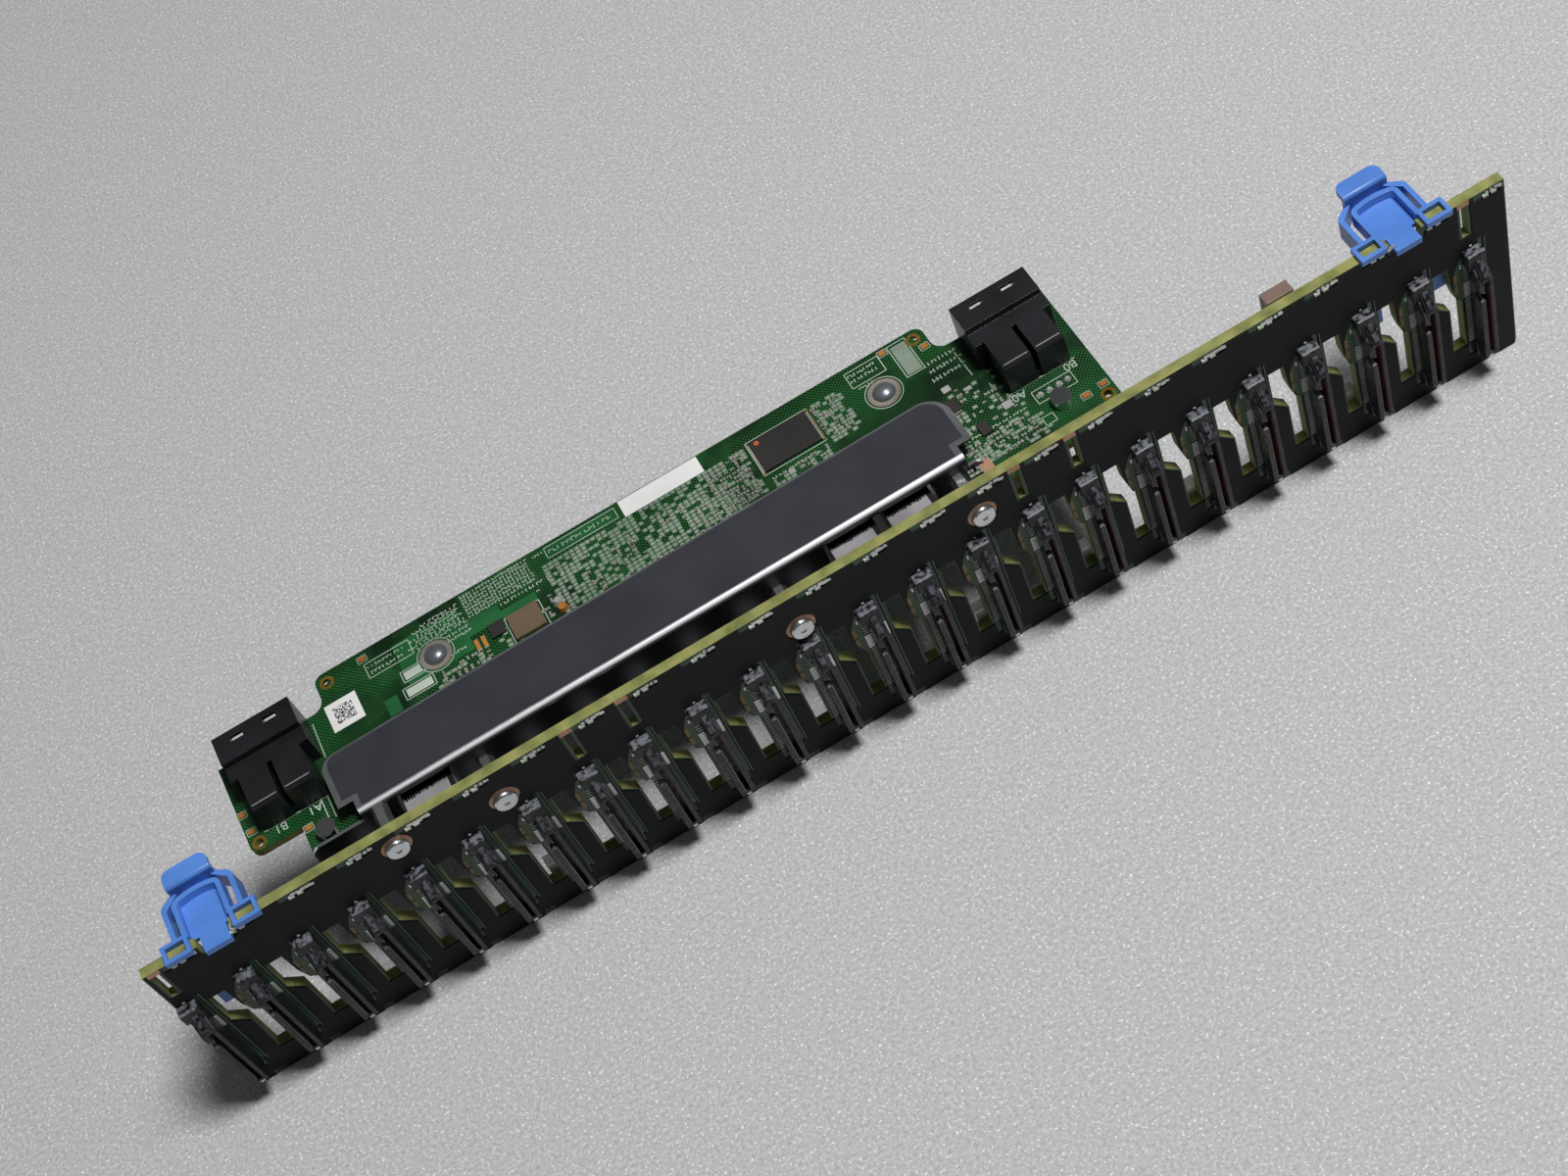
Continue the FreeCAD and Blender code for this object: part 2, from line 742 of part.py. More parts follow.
def make_release_latch(name, centre):
    body = new_body(name, board_left + centre, 0, s.board_height)
    gripped = rear_face + s.latch_gap
    outer = gripped + s.loop_bar
    platform_top = platform_low + s.platform_thickness
    tip = -front_face + s.tongue_reach
    # Thumb cup with its platform.
    half_inside = s.cup_half_width - s.latch_wall
    arch_inside = s.cup_arch - s.latch_wall
    sketch = new_sketch(body, "XY_Plane", platform_low)
    draw_cup(sketch, s.cup_half_width, s.cup_arch, gripped)
    pad(body, sketch, s.cup_height)
    sketch = new_sketch(body, "XY_Plane", platform_low + s.cup_height)
    draw_cup(sketch, half_inside, arch_inside, gripped - s.latch_wall)
    pocket(body, sketch, s.cup_height - s.platform_thickness)
    for half, arch, radius in (
        (s.cup_half_width, s.cup_arch, s.cup_corner),
        (half_inside, arch_inside, s.cup_corner - s.latch_wall),
    ):
        shoulder = cup_shoulder(half, arch)
        round_edges(body, radius, ALONG_Z, (-half, shoulder, 0), (half, shoulder, 0))
    # Tongue through the board's notch, with a tooth at its tip.
    half_tongue = s.tongue_width / 2
    block(body, -half_tongue, half_tongue, -tip, outer, platform_low, platform_top)
    block(body, -half_tongue, half_tongue, -tip, s.tongue_tooth - tip, tooth_bottom, platform_top)
    # Side loops.
    sketch = new_sketch(body, "XY_Plane", -s.loop_grip)
    for middle in (-s.loop_centre, s.loop_centre):
        draw_rectangle(sketch, middle - s.loop_width / 2, middle + s.loop_width / 2, -outer, outer)
    pad(body, sketch, s.loop_grip + s.loop_top)
    for middle in (-s.loop_centre, s.loop_centre):
        left = middle - s.loop_width / 2
        right = middle + s.loop_width / 2
        hollow(body, left + s.loop_bar, right - s.loop_bar, -gripped, gripped, -s.loop_grip, s.loop_top)
        hollow(body, left, right, -gripped, gripped, -s.loop_grip, s.latch_gap)
    # Arms from the loops back to the wall of the thumb lip.
    half_lip = s.lip_half_width
    wall_back = s.lip_front + s.latch_wall
    arm_inside = s.arm_spread - s.latch_wall
    for side in (-1, 1):
        sketch = new_sketch(body, "XY_Plane", -s.arm_height)
        draw_outline(sketch, [
            (side * s.arm_spread, gripped),
            (side * s.arm_spread, s.arm_back),
            (side * (half_lip - s.latch_wall), wall_back),
            (side * (half_lip - s.latch_wall), s.lip_front),
            (side * arm_inside, s.arm_back - s.latch_wall),
            (side * arm_inside, gripped),
        ])
        pad(body, sketch, s.arm_height)
        round_edges(body, s.arm_curve, ALONG_Z, (side * s.arm_spread, s.arm_back, 0))
    block(body, -half_lip, half_lip, s.lip_front, wall_back, -s.arm_height, s.lip_top)
    block(body, -half_lip, half_lip, s.lip_front, s.lip_back, s.lip_top - s.lip_thickness, s.lip_top)
    cup_back = s.cup_centre + arch_inside
    block(body, -half_tongue, half_tongue, cup_back, wall_back, platform_low, platform_top)
    # Legs behind the board, with a hook at each foot.
    foot = s.leg_bottom - s.board_height
    for middle in (-s.loop_centre, s.loop_centre):
        left = middle - s.leg_width / 2
        right = middle + s.leg_width / 2
        block(body, left, right, gripped, outer, foot, as_size(0))
        block(body, left, right, gripped, outer + s.tongue_tooth, foot, foot + s.latch_wall)
    doc.recompute()
    round_edges(body, s.lip_corner, ALONG_Z, (-half_lip, s.lip_back, 0), (half_lip, s.lip_back, 0))
    round_edges(body, s.lip_curve, ALONG_X, (0, s.lip_front, s.lip_top))


# Expander board.


def set_back_spans():
    """Stretches along X where the expander's front edge and the flange make room for the headers."""
    return [
        (s.header_1_left - s.window_gap, s.header_1_right + s.window_gap),
        (s.header_2_left - s.window_gap, s.header_3_right + s.window_gap),
    ]


def make_expander_board():
    body = new_body("expander_board", board_left, rear_face, expander_bottom)
    sketch = new_sketch(body, "XY_Plane")
    corners = [
        (s.expander_left, s.expander_tab_front),
        (s.flange_left, s.expander_tab_front),
        (s.flange_left, s.expander_front),
    ]
    for left, right in set_back_spans():
        corners += [
            (left, s.expander_front),
            (left, s.expander_set_back),
            (right, s.expander_set_back),
            (right, s.expander_front),
        ]
    corners += [
        (s.expander_step_right, s.expander_front),
        (s.expander_step_right, s.expander_near_front),
        (s.expander_right, s.expander_near_front),
        (s.expander_right, s.expander_ear_depth),
        (s.expander_ear_right, s.expander_ear_depth),
        (s.expander_ear_right, s.expander_depth),
        (s.expander_ear_left, s.expander_depth),
        (s.expander_ear_left, s.expander_ear_depth),
        (s.expander_left, s.expander_ear_depth),
    ]
    draw_outline(sketch, corners)
    pad(body, sketch, s.expander_thickness)
    sketch = new_sketch(body, "XY_Plane")
    for across, depth in plated_holes:
        draw_circle(sketch, across, depth, s.plated_hole_radius)
    for across in (s.fixing_1_x, s.fixing_2_x):
        draw_circle(sketch, across, s.fixing_y, s.screw_radius + s.screw_clearance)
    pocket(body, sketch)
    round_edges(
        body,
        s.expander_corner,
        ALONG_Z,
        (s.expander_left, s.expander_tab_front),
        (s.expander_right, s.expander_near_front),
        (s.expander_ear_left, s.expander_depth),
        (s.expander_ear_right, s.expander_depth),
    )
    round_edges(
        body,
        s.expander_hollow,
        ALONG_Z,
        (s.expander_ear_left, s.expander_ear_depth),
        (s.expander_ear_right, s.expander_ear_depth),
    )


# Sheet-metal bracket with its film.


def make_bracket():
    body = new_body("bracket", board_left, rear_face)
    notch_left = s.plate_left + s.plate_notch_width
    notch_right = s.flange_right - s.plate_notch_width
    sketch = new_sketch(body, "XZ_Plane", -flange_rear)
    draw_outline(sketch, [
        (s.flange_left, s.flange_bottom),
        (s.flange_right, s.flange_bottom),
        (s.flange_right, s.flange_low_top),
        (notch_right, s.flange_low_top),
        (notch_right, s.plate_top),
        (notch_left, s.plate_top),
        (notch_left, s.flange_low_top),
        (s.flange_left, s.flange_low_top),
    ])
    pad(body, sketch, s.sheet_thickness)
    sketch = new_sketch(body, "XY_Plane", s.plate_top - s.sheet_thickness)
    draw_outline(sketch, plate_outline(as_size(0), flange_face))
    pad(body, sketch, s.sheet_thickness)
    round_edges(body, s.bend_radius, ALONG_X, (0, flange_face, s.plate_top))
    round_edges(body, s.bend_radius - s.sheet_thickness, ALONG_X, (0, flange_rear, s.plate_top - s.sheet_thickness))
    round_edges(body, s.plate_corner_left, ALONG_Z, (s.plate_left, flange_face + s.plate_depth_left))
    round_edges(body, s.plate_corner_right, ALONG_Z, (s.flange_right, flange_face + s.plate_depth_right))
    round_edges(
        body,
        s.flange_corner,
        ALONG_Y,
        (s.flange_left, 0, s.flange_low_top),
        (s.flange_right, 0, s.flange_low_top),
    )
    for left, right in set_back_spans():
        hollow(body, left, right, flange_face, flange_rear, s.flange_bottom, s.window_top)
    shelf_top = expander_bottom
    shelf_bottom = expander_bottom - s.sheet_thickness
    for middle in (s.shelf_1, s.shelf_2, s.shelf_3):
        left = middle - s.shelf_width / 2
        right = middle + s.shelf_width / 2
        block(body, left, right, flange_face, flange_rear + s.shelf_depth, shelf_bottom, shelf_top)
    doc.recompute()


def plate_outline(inset, front):
    """The top plate's plan, drawn in by an inset from its sides and back, with its notches at the front."""
    left = s.plate_left + inset
    right = s.flange_right - inset
    notch_left = left + s.plate_notch_width
    notch_right = right - s.plate_notch_width
    notch_back = flange_face + s.plate_notch_depth + inset
    return [
        (left, notch_back),
        (notch_left, notch_back),
        (notch_left, front),
        (notch_right, front),
        (notch_right, notch_back),
        (right, notch_back),
        (right, flange_face + s.plate_depth_right - inset),
        (left, flange_face + s.plate_depth_left - inset),
    ]


def make_bracket_film():
    body = new_body("bracket_film", board_left, rear_face, s.plate_top)
    inset = s.bracket_film_inset
    sketch = new_sketch(body, "XY_Plane")
    draw_outline(sketch, plate_outline(inset, flange_face + s.bend_radius))
    pad(body, sketch, s.film_thickness)
    left_corner = (s.plate_left + inset, flange_face + s.plate_depth_left - inset)
    right_corner = (s.flange_right - inset, flange_face + s.plate_depth_right - inset)
    round_edges(body, s.plate_corner_left - inset, ALONG_Z, left_corner)
    round_edges(body, s.plate_corner_right - inset, ALONG_Z, right_corner)


# Board-to-board connectors.


def make_board_header(number, left, right):
    body = new_body(f"board_header_{number}", board_left, rear_face)
    mouth = s.header_reach - s.header_mouth_depth
    block(body, left, right, as_size(0), s.header_reach, s.header_bottom, s.header_top)
    hollow(
        body,
        left + s.header_wall,
        right - s.header_wall,
        mouth,
        s.header_reach,
        s.header_bottom + s.header_wall,
        s.header_top - s.header_wall,
    )
    doc.recompute()


def make_board_socket(number, left, right):
    body = new_body(f"board_socket_{number}", board_left, rear_face)
    back = s.header_reach + s.socket_reach
    margin = s.header_wall + s.plug_gap
    mouth = s.header_reach - s.header_mouth_depth + s.plug_gap
    block(body, left, right, s.header_reach, back, s.socket_bottom, expander_bottom)
    nose_back = s.header_reach + s.socket_nose
    block(body, left, right, s.header_reach, nose_back, s.socket_bottom, s.socket_nose_top)
    plug_top = s.header_top - margin
    block(body, left + margin, right - margin, mouth, nose_back, s.header_bottom + margin, plug_top)
    doc.recompute()


# Cable ports on the expander's ears.


def make_cable_port(name, left):
    body = new_body(name, board_left + left, rear_face, s.expander_top)
    back = s.port_front + s.port_depth
    block_front = back - s.port_block_depth
    step_front = block_front - s.port_step_depth
    block(body, as_size(0), s.port_width, block_front, back, as_size(0), s.port_height)
    block(body, as_size(0), s.port_width, step_front, block_front, as_size(0), s.port_step_height)
    cages = [s.cage_margin, s.port_width - s.cage_margin - s.cage_width]
    block(body, cages[0], cages[1] + s.cage_width, s.port_front + s.cage_bevel, step_front, as_size(0), s.mouth_floor)
    for cage in cages:
        sketch = new_sketch(body, "YZ_Plane", cage)
        draw_outline(sketch, [
            (s.port_front, 0),
            (s.port_front, s.cage_height - s.cage_bevel),
            (s.port_front + s.cage_bevel, s.cage_height),
            (step_front, s.cage_height),
            (step_front, 0),
        ])
        pad(body, sketch, s.cage_width)
    for cage in cages:
        middle = cage + s.cage_width / 2
        half = s.mouth_width / 2
        mouth_back = back - s.mouth_depth
        hollow(body, middle - half, middle + half, mouth_back, back, s.mouth_floor, s.mouth_floor + s.mouth_height)
        slot_back = back - s.latch_slot_from_rear
        half_slot = s.latch_slot_width / 2
        slot_front = slot_back - s.latch_slot_depth
        hollow(body, middle - half_slot, middle + half_slot, slot_front, slot_back, s.mouth_floor, s.port_height)
        window_top = s.port_height - s.latch_bar
        hollow(body, middle - half_slot, middle + half_slot, slot_back, back, s.mouth_floor, window_top)
        paddle_low = s.mouth_floor + (s.mouth_height - s.paddle_thickness) / 2
        half_paddle = half - s.paddle_margin
        block(
            body,
            middle - half_paddle,
            middle + half_paddle,
            mouth_back,
            mouth_back + s.paddle_length,
            paddle_low,
            paddle_low + s.paddle_thickness,
        )
    doc.recompute()


# Turned and repeated fasteners.


def turned(name, plane, profile):
    """A round piece: a profile of radii and lengths, turned about the plane's second axis."""
    body = doc.addObject("PartDesign::Body", name)
    sketch = new_sketch(body, plane)
    draw_outline(sketch, profile)
    feature = body.newObject("PartDesign::Revolution", "Turning")
    feature.Profile = sketch
    feature.ReferenceAxis = (sketch, ["V_Axis"])
    feature.Angle = FULL_TURN
    doc.recompute()
    return body


def hexagonal_spacer(name, plane, radius, length):
    """A hexagonal spacer with a clear bore for a screw, which runs backwards from its plane."""
    body = doc.addObject("PartDesign::Body", name)
    sketch = new_sketch(body, plane)
    draw_polygon(sketch, 6, radius)
    draw_circle(sketch, 0, 0, s.screw_radius + s.screw_clearance)
    pad(body, sketch, length, backwards=True)
    return body


def group(name, body, places):
    """One named sub-part that holds a piece and its copies as separate solids."""
    first, *others = places
    place(body, *first)
    compound = doc.addObject("Part::Compound", name)
    compound.Label = name
    compound.Links = [body] + [copy_of(body, body.Label, *other) for other in others]
    parts.append(compound)


def make_bracket_fixings():
    """Screws through the main board, each into a spacer that carries the bracket's flange."""
    screw = turned("bracket_screw", "XY_Plane", [
        (0, -s.screw_head_height),
        (s.screw_head_radius - s.screw_head_edge, -s.screw_head_height),
        (s.screw_head_radius, 0),
        (s.screw_radius, 0),
        (s.screw_radius, s.board_thickness + s.screw_engagement),
        (0, s.board_thickness + s.screw_engagement),
    ])
    sketch = new_sketch(screw, "XZ_Plane", s.screw_head_height)
    draw_polygon(sketch, 6, s.socket_radius)
    pocket(screw, sketch, s.socket_depth)
    group("bracket_screws", screw, [(board_left + across, front_face, height) for across, height in screw_places])
    spacer = hexagonal_spacer("bracket_standoff", "XZ_Plane", s.standoff_radius, s.standoff_gap)
    group("bracket_standoffs", spacer, [(board_left + across, rear_face, height) for across, height in screw_places])


def make_shoulder_studs():
    """Round studs that are soldered to the expander board's top."""
    stud = turned("shoulder_stud", "XZ_Plane", [
        (0, 0),
        (s.stud_radius, 0),
        (s.stud_radius, s.stud_height),
        (0, s.stud_height),
    ])
    places = [(board_left + across, rear_face + s.stud_y, s.expander_top) for across in (s.stud_1_x, s.stud_2_x)]
    group("shoulder_studs", stud, places)


def make_expander_fixings():
    """Upright screws through the expander board, each into a spacer under it."""
    screw = turned("fixing_screw", "XZ_Plane", [
        (0, -s.expander_thickness - s.screw_engagement),
        (s.screw_radius, -s.expander_thickness - s.screw_engagement),
        (s.screw_radius, 0),
        (s.fixing_head_radius, 0),
        (s.fixing_head_radius - s.screw_head_edge, s.fixing_head_height),
        (0, s.fixing_head_height),
    ])
    across = [board_left + s.fixing_1_x, board_left + s.fixing_2_x]
    group("fixing_screws", screw, [(x, rear_face + s.fixing_y, s.expander_top) for x in across])
    boss = hexagonal_spacer("fixing_boss", "XY_Plane", s.fixing_boss_radius, s.fixing_boss_height)
    group("fixing_bosses", boss, [(x, rear_face + s.fixing_y, expander_bottom) for x in across])


# Chips, labels and other small pieces.


def make_slab(name, left, front, low, length, depth, height):
    """A plain rectangular piece, such as a chip or a label, placed from the main board's left and rear faces."""
    body = new_body(name, board_left + left, rear_face + front, low)
    block(body, as_size(0), length, as_size(0), depth, as_size(0), height)
    doc.recompute()
    return body


def make_heat_sink():
    side = s.expander_chip_side + 2 * s.sink_overhang
    body = new_body(
        "heat_sink",
        board_left + s.expander_chip_left - s.sink_overhang,
        rear_face + s.expander_chip_front - s.sink_overhang,
        expander_bottom - s.expander_chip_height,
    )
    block(body, as_size(0), side, as_size(0), side, -s.sink_base, as_size(0))
    doc.recompute()
    sketch = new_sketch(body, "XY_Plane", -s.sink_base)
    draw_rectangle(sketch, 0, s.sink_fin_thickness, 0, side)
    fin = pad(body, sketch, s.sink_fin_height, backwards=True)
    repeat(body, fin, sketch, (side - s.sink_fin_thickness) / (SINK_FINS - 1), SINK_FINS)


def make_power_connector():
    body = new_body("power_connector", board_left + s.power_left, rear_face)
    block(body, as_size(0), s.power_width, as_size(0), s.power_depth, s.power_bottom, s.power_top)
    hollow(
        body,
        s.power_wall,
        s.power_width - s.power_wall,
        s.power_wall,
        s.power_depth,
        s.power_bottom + s.power_wall,
        s.power_top - s.power_wall,
    )
    doc.recompute()


def make_status_lights():
    light = doc.addObject("Part::Box", "status_light")
    bind(light, "Length", s.light_length)
    bind(light, "Width", s.light_thickness)
    bind(light, "Height", s.light_height)
    low = s.board_height - s.light_drop - s.light_height
    places = []
    for index in range(CONNECTORS):
        for side in (-1, 1):
            middle = board_left + lead_column(index) + s.light_offset + side * s.light_pitch / 2
            places.append((middle - s.light_length / 2, front_face - s.light_thickness, low))
    group("status_lights", light, places)


plated_holes = [
    (s.expander_left + s.plated_hole_inset, s.expander_tab_front + s.plated_hole_inset),
    (s.expander_ear_left + s.plated_hole_inset, s.expander_depth - s.plated_hole_inset),
    (s.expander_ear_right - s.plated_hole_inset, s.expander_depth - s.plated_hole_inset),
    (s.near_hole_x, s.near_hole_y),
]

make_main_board()
make_front_film()
make_drive_connectors()
make_release_latch("release_latch_left", s.latch_left)
make_release_latch("release_latch_right", s.latch_right)
make_expander_board()
make_bracket()
make_bracket_film()
for number, (left, right) in enumerate(header_spans, start=1):
    make_board_header(number, left, right)
    make_board_socket(number, left, right)
make_cable_port("cable_port_left", s.port_left)
make_cable_port("cable_port_right", s.port_right)
make_bracket_fixings()
make_shoulder_studs()
make_expander_fixings()
make_heat_sink()
make_power_connector()
make_status_lights()
make_slab(
    "expander_chip",
    s.expander_chip_left,
    s.expander_chip_front,
    expander_bottom - s.expander_chip_height,
    s.expander_chip_side,
    s.expander_chip_side,
    s.expander_chip_height,
)
on_expander = s.expander_top
make_slab(
    "memory_chip", s.memory_left, s.memory_front, on_expander, s.memory_width, s.memory_depth, s.memory_height
)
make_slab(
    "controller_chip",
    s.controller_left,
    s.controller_front,
    on_expander,
    s.controller_side,
    s.controller_side,
    s.controller_height,
)
make_slab(
    "small_chip",
    s.small_chip_left,
    s.small_chip_front,
    on_expander,
    s.small_chip_length,
    s.small_chip_width,
    s.small_chip_height,
)
make_slab("blank_label", s.label_left, s.label_front, on_expander, s.label_length, s.label_depth, s.label_thickness)
make_slab("code_label", s.code_left, s.code_front, on_expander, s.code_side, s.code_side, s.label_thickness)

# Check the document, then write one file for each sub-part.

doc.recompute()
failed = [item for item in doc.Objects if {"Invalid", "Error"} & set(item.State)]
if failed:
    raise RuntimeError(", ".join(f"{item.Name} in {[user.Label for user in item.InList]}" for item in failed))
os.makedirs("parts", exist_ok=True)
for part in parts:
    if part.Shape.isNull() or not part.Shape.isValid():
        raise RuntimeError(f"{part.Label} has no valid shape")
    part.Shape.exportStep(f"parts/{part.Label}.step")
    print(f"{part.Label}: {len(part.Shape.Solids)} solid(s), {part.Shape.Volume:.1f} mm3")
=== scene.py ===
# %% [markdown]
# # A drive backplane board
# The object is a long circuit board that stands on its edge in a server, with a row of drive connectors on
# its front, two blue release latches on its top edge, and a second board lying behind it under a folded
# metal bracket. The solid pieces come from the CAD frame. This lesson dresses them: it softens their edges,
# gives each finish its own material, and adds the small parts that a CAD model leaves out.

import math
import random

import bmesh
import bpy
from mathutils import Matrix, Vector


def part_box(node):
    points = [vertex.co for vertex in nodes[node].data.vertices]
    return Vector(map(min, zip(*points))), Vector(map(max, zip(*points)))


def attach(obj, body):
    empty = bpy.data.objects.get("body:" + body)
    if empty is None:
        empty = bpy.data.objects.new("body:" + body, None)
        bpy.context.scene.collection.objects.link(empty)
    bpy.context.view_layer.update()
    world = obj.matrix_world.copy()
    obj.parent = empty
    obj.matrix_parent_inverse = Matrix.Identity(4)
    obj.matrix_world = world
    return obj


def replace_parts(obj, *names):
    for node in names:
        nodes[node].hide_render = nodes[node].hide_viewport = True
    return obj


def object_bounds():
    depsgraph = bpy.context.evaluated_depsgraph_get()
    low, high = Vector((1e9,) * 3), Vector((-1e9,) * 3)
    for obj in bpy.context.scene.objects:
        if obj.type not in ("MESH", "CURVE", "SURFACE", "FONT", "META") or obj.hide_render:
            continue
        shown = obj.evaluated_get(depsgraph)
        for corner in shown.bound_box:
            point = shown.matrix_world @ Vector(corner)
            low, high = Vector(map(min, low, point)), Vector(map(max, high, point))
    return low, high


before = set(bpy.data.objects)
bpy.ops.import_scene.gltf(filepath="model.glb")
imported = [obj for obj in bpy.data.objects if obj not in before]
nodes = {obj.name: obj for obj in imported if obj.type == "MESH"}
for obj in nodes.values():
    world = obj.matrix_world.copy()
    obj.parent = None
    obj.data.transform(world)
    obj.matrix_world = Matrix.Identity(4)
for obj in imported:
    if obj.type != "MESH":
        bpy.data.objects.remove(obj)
cad_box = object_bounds()
MM = 0.001
ROOT = "root"
print("CAD nodes:", len(nodes))

# %% [markdown]
# ## Places to measure from
# The small parts are placed from a few planes of the CAD nodes: the left end and the front face of the
# main board, and the top of the expander. The left edge of each drive connector is read from its own box.
# Keeping these as values saves asking for the same boxes again and again.

# %% Measure the frame
board_low, board_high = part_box("main_board")
LEFT = board_low.x
FRONT = board_low.y
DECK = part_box("expander_board")[1].z
connector_names = sorted(name for name in nodes if name.startswith("drive_connector_"))
EAR_LEFT = 0.4 * MM  # how far a connector's cap reaches to the left of its walls
columns = [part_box(name)[0].x + EAR_LEFT for name in connector_names]
print("connectors:", len(connector_names), "board length mm:", round((board_high.x - LEFT) / MM, 1))

# %% [markdown]
# ## Material helpers
# A finish is a small graph of shader nodes. These helpers keep each finish short: one makes the material,
# one adds a node and sets its values, and one turns a pattern into bumps.


# %% Material helpers
class Finish:
    """A node material under construction, with its principled shader."""

    def __init__(self, name, metallic=0.0, roughness=0.5):
        self.material = bpy.data.materials.new(name)
        self.material.use_nodes = True
        self.tree = self.material.node_tree
        self.shader = self.tree.nodes["Principled BSDF"]
        self.shader.inputs["Metallic"].default_value = metallic
        self.shader.inputs["Roughness"].default_value = roughness
        self.place = self.add("ShaderNodeTexCoord").outputs["Object"]

    def add(self, kind, values=None, **settings):
        node = self.tree.nodes.new(kind)
        for key, value in settings.items():
            setattr(node, key, value)
        for key, value in (values or {}).items():
            if isinstance(value, bpy.types.NodeSocket):
                self.tree.links.new(value, node.inputs[key])
            else:
                node.inputs[key].default_value = value
        return node

    def math(self, operation, first, second=0.0, third=0.0):
        return self.add("ShaderNodeMath", {0: first, 1: second, 2: third}, operation=operation).outputs[0]

    def mix(self, factor, first, second):
        node = self.add("ShaderNodeMix", {0: factor, 6: first, 7: second}, data_type="RGBA")
        return node.outputs[2]

    def noise(self, scale, detail=3.0, stretch=(1, 1, 1)):
        """Noise whose scale counts features to the metre."""
        place = self.add("ShaderNodeMapping", {"Vector": self.place, "Scale": stretch}).outputs[0]
        values = {"Vector": place, "Scale": scale, "Detail": detail}
        return self.add("ShaderNodeTexNoise", values).outputs["Fac"]

    def ramp(self, factor, low, high):
        """Stretch a pattern so that it runs from 0 at low to 1 at high."""
        values = {"Value": factor, "From Min": low, "From Max": high}
        return self.add("ShaderNodeMapRange", values).outputs[0]

    def colour(self, source):
        self.tree.links.new(source, self.shader.inputs["Base Color"])

    def rough(self, source):
        self.tree.links.new(source, self.shader.inputs["Roughness"])

    def bump(self, height, depth, strength=0.4):
        node = self.add("ShaderNodeBump", {"Height": height, "Strength": strength, "Distance": depth})
        self.tree.links.new(node.outputs[0], self.shader.inputs["Normal"])


def shade(red, green, blue):
    """A colour given as it looks on screen, 0 to 255, turned into the linear values that shaders use."""
    linear = [(part / 255) ** 2.2 for part in (red, green, blue)]
    return (*linear, 1.0)


def speckled(name, dark, light, grain, metallic=0.0, roughness=(0.4, 0.6), depth=0.00002, shine=0.5):
    """A finish with a soft mottle of two tones, uneven gloss and a fine grain in relief."""
    finish = Finish(name, metallic)
    finish.shader.inputs["Specular IOR Level"].default_value = shine
    mottle = finish.ramp(finish.noise(60), 0.35, 0.65)
    finish.colour(finish.mix(mottle, shade(*dark), shade(*light)))
    fine = finish.noise(grain, 4)
    span = {"Value": fine, "To Min": roughness[0], "To Max": roughness[1]}
    finish.rough(finish.add("ShaderNodeMapRange", span).outputs[0])
    finish.bump(fine, depth)
    return finish.material


# %% [markdown]
# ## Circuit-board green
# A board is glass fibre under a thin green lacquer. The lacquer is only on the two broad faces, and the cut
# edges show the bare yellow-olive laminate. The material tells them apart by the direction of the face, so
# one finish serves the whole solid. Copper tracks under the lacquer show as thin paler lines. A grid of
# plated holes, each row half a step aside from the last, shows as paler dots.


# %% Circuit-board material
def make_board_finish(name, broad_axis, dark, light, edge_dark, edge_light, dots=0.0):
    finish = Finish(name, roughness=0.35)
    normal = finish.add("ShaderNodeTexCoord").outputs["Normal"]
    facing = finish.add("ShaderNodeSeparateXYZ", {0: normal}).outputs[broad_axis]
    broad = finish.math("GREATER_THAN", finish.math("ABSOLUTE", facing), 0.5)
    blotch = finish.ramp(finish.noise(45, 2), 0.4, 0.6)
    cells = finish.add(
        "ShaderNodeTexVoronoi", {"Vector": finish.place, "Scale": 160.0}, distance="CHEBYCHEV", feature="F1"
    )
    shade_of_cell = finish.add("ShaderNodeSeparateColor", {0: cells.outputs["Color"]}).outputs[0]
    pour = finish.math("GREATER_THAN", shade_of_cell, 0.62)
    diagonal = (0.0, 0.0, math.radians(45))
    turned = finish.add("ShaderNodeMapping", {"Vector": finish.place, "Rotation": diagonal})
    tracks = finish.add(
        "ShaderNodeTexWave", {"Vector": turned.outputs[0], "Scale": 420.0, "Distortion": 1.5, "Detail": 1.0}
    )
    line = finish.math("MULTIPLY", finish.ramp(tracks.outputs["Fac"], 0.75, 0.95), pour)
    lacquer = finish.mix(blotch, shade(*dark), shade(*light))
    bright = tuple(min(255, part * 1.5) for part in light)
    lacquer = finish.mix(finish.math("MULTIPLY", line, 0.6), lacquer, shade(*bright))
    grid = {"Vector": turned.outputs[0], "Scale": 1110.0, "Randomness": 0.0}
    gap = finish.add("ShaderNodeTexVoronoi", grid, feature="F1").outputs["Distance"]
    dot = finish.math("MULTIPLY", finish.ramp(gap, 0.34, 0.26), dots)
    patch = finish.ramp(finish.noise(38, 1), 0.44, 0.5)
    dotted = tuple(min(255, part * 2.1 + 8) for part in light)
    lacquer = finish.mix(finish.math("MULTIPLY", dot, patch), lacquer, shade(*dotted))
    fibres = finish.ramp(finish.noise(900, 2, (0.2, 0.2, 3)), 0.35, 0.65)
    laminate = finish.mix(fibres, shade(*edge_dark), shade(*edge_light))
    finish.colour(finish.mix(broad, laminate, lacquer))
    span = {"Value": broad, "To Min": 0.75, "To Max": 0.33}
    finish.rough(finish.add("ShaderNodeMapRange", span).outputs[0])
    finish.bump(line, 0.00004, 0.5)
    return finish.material
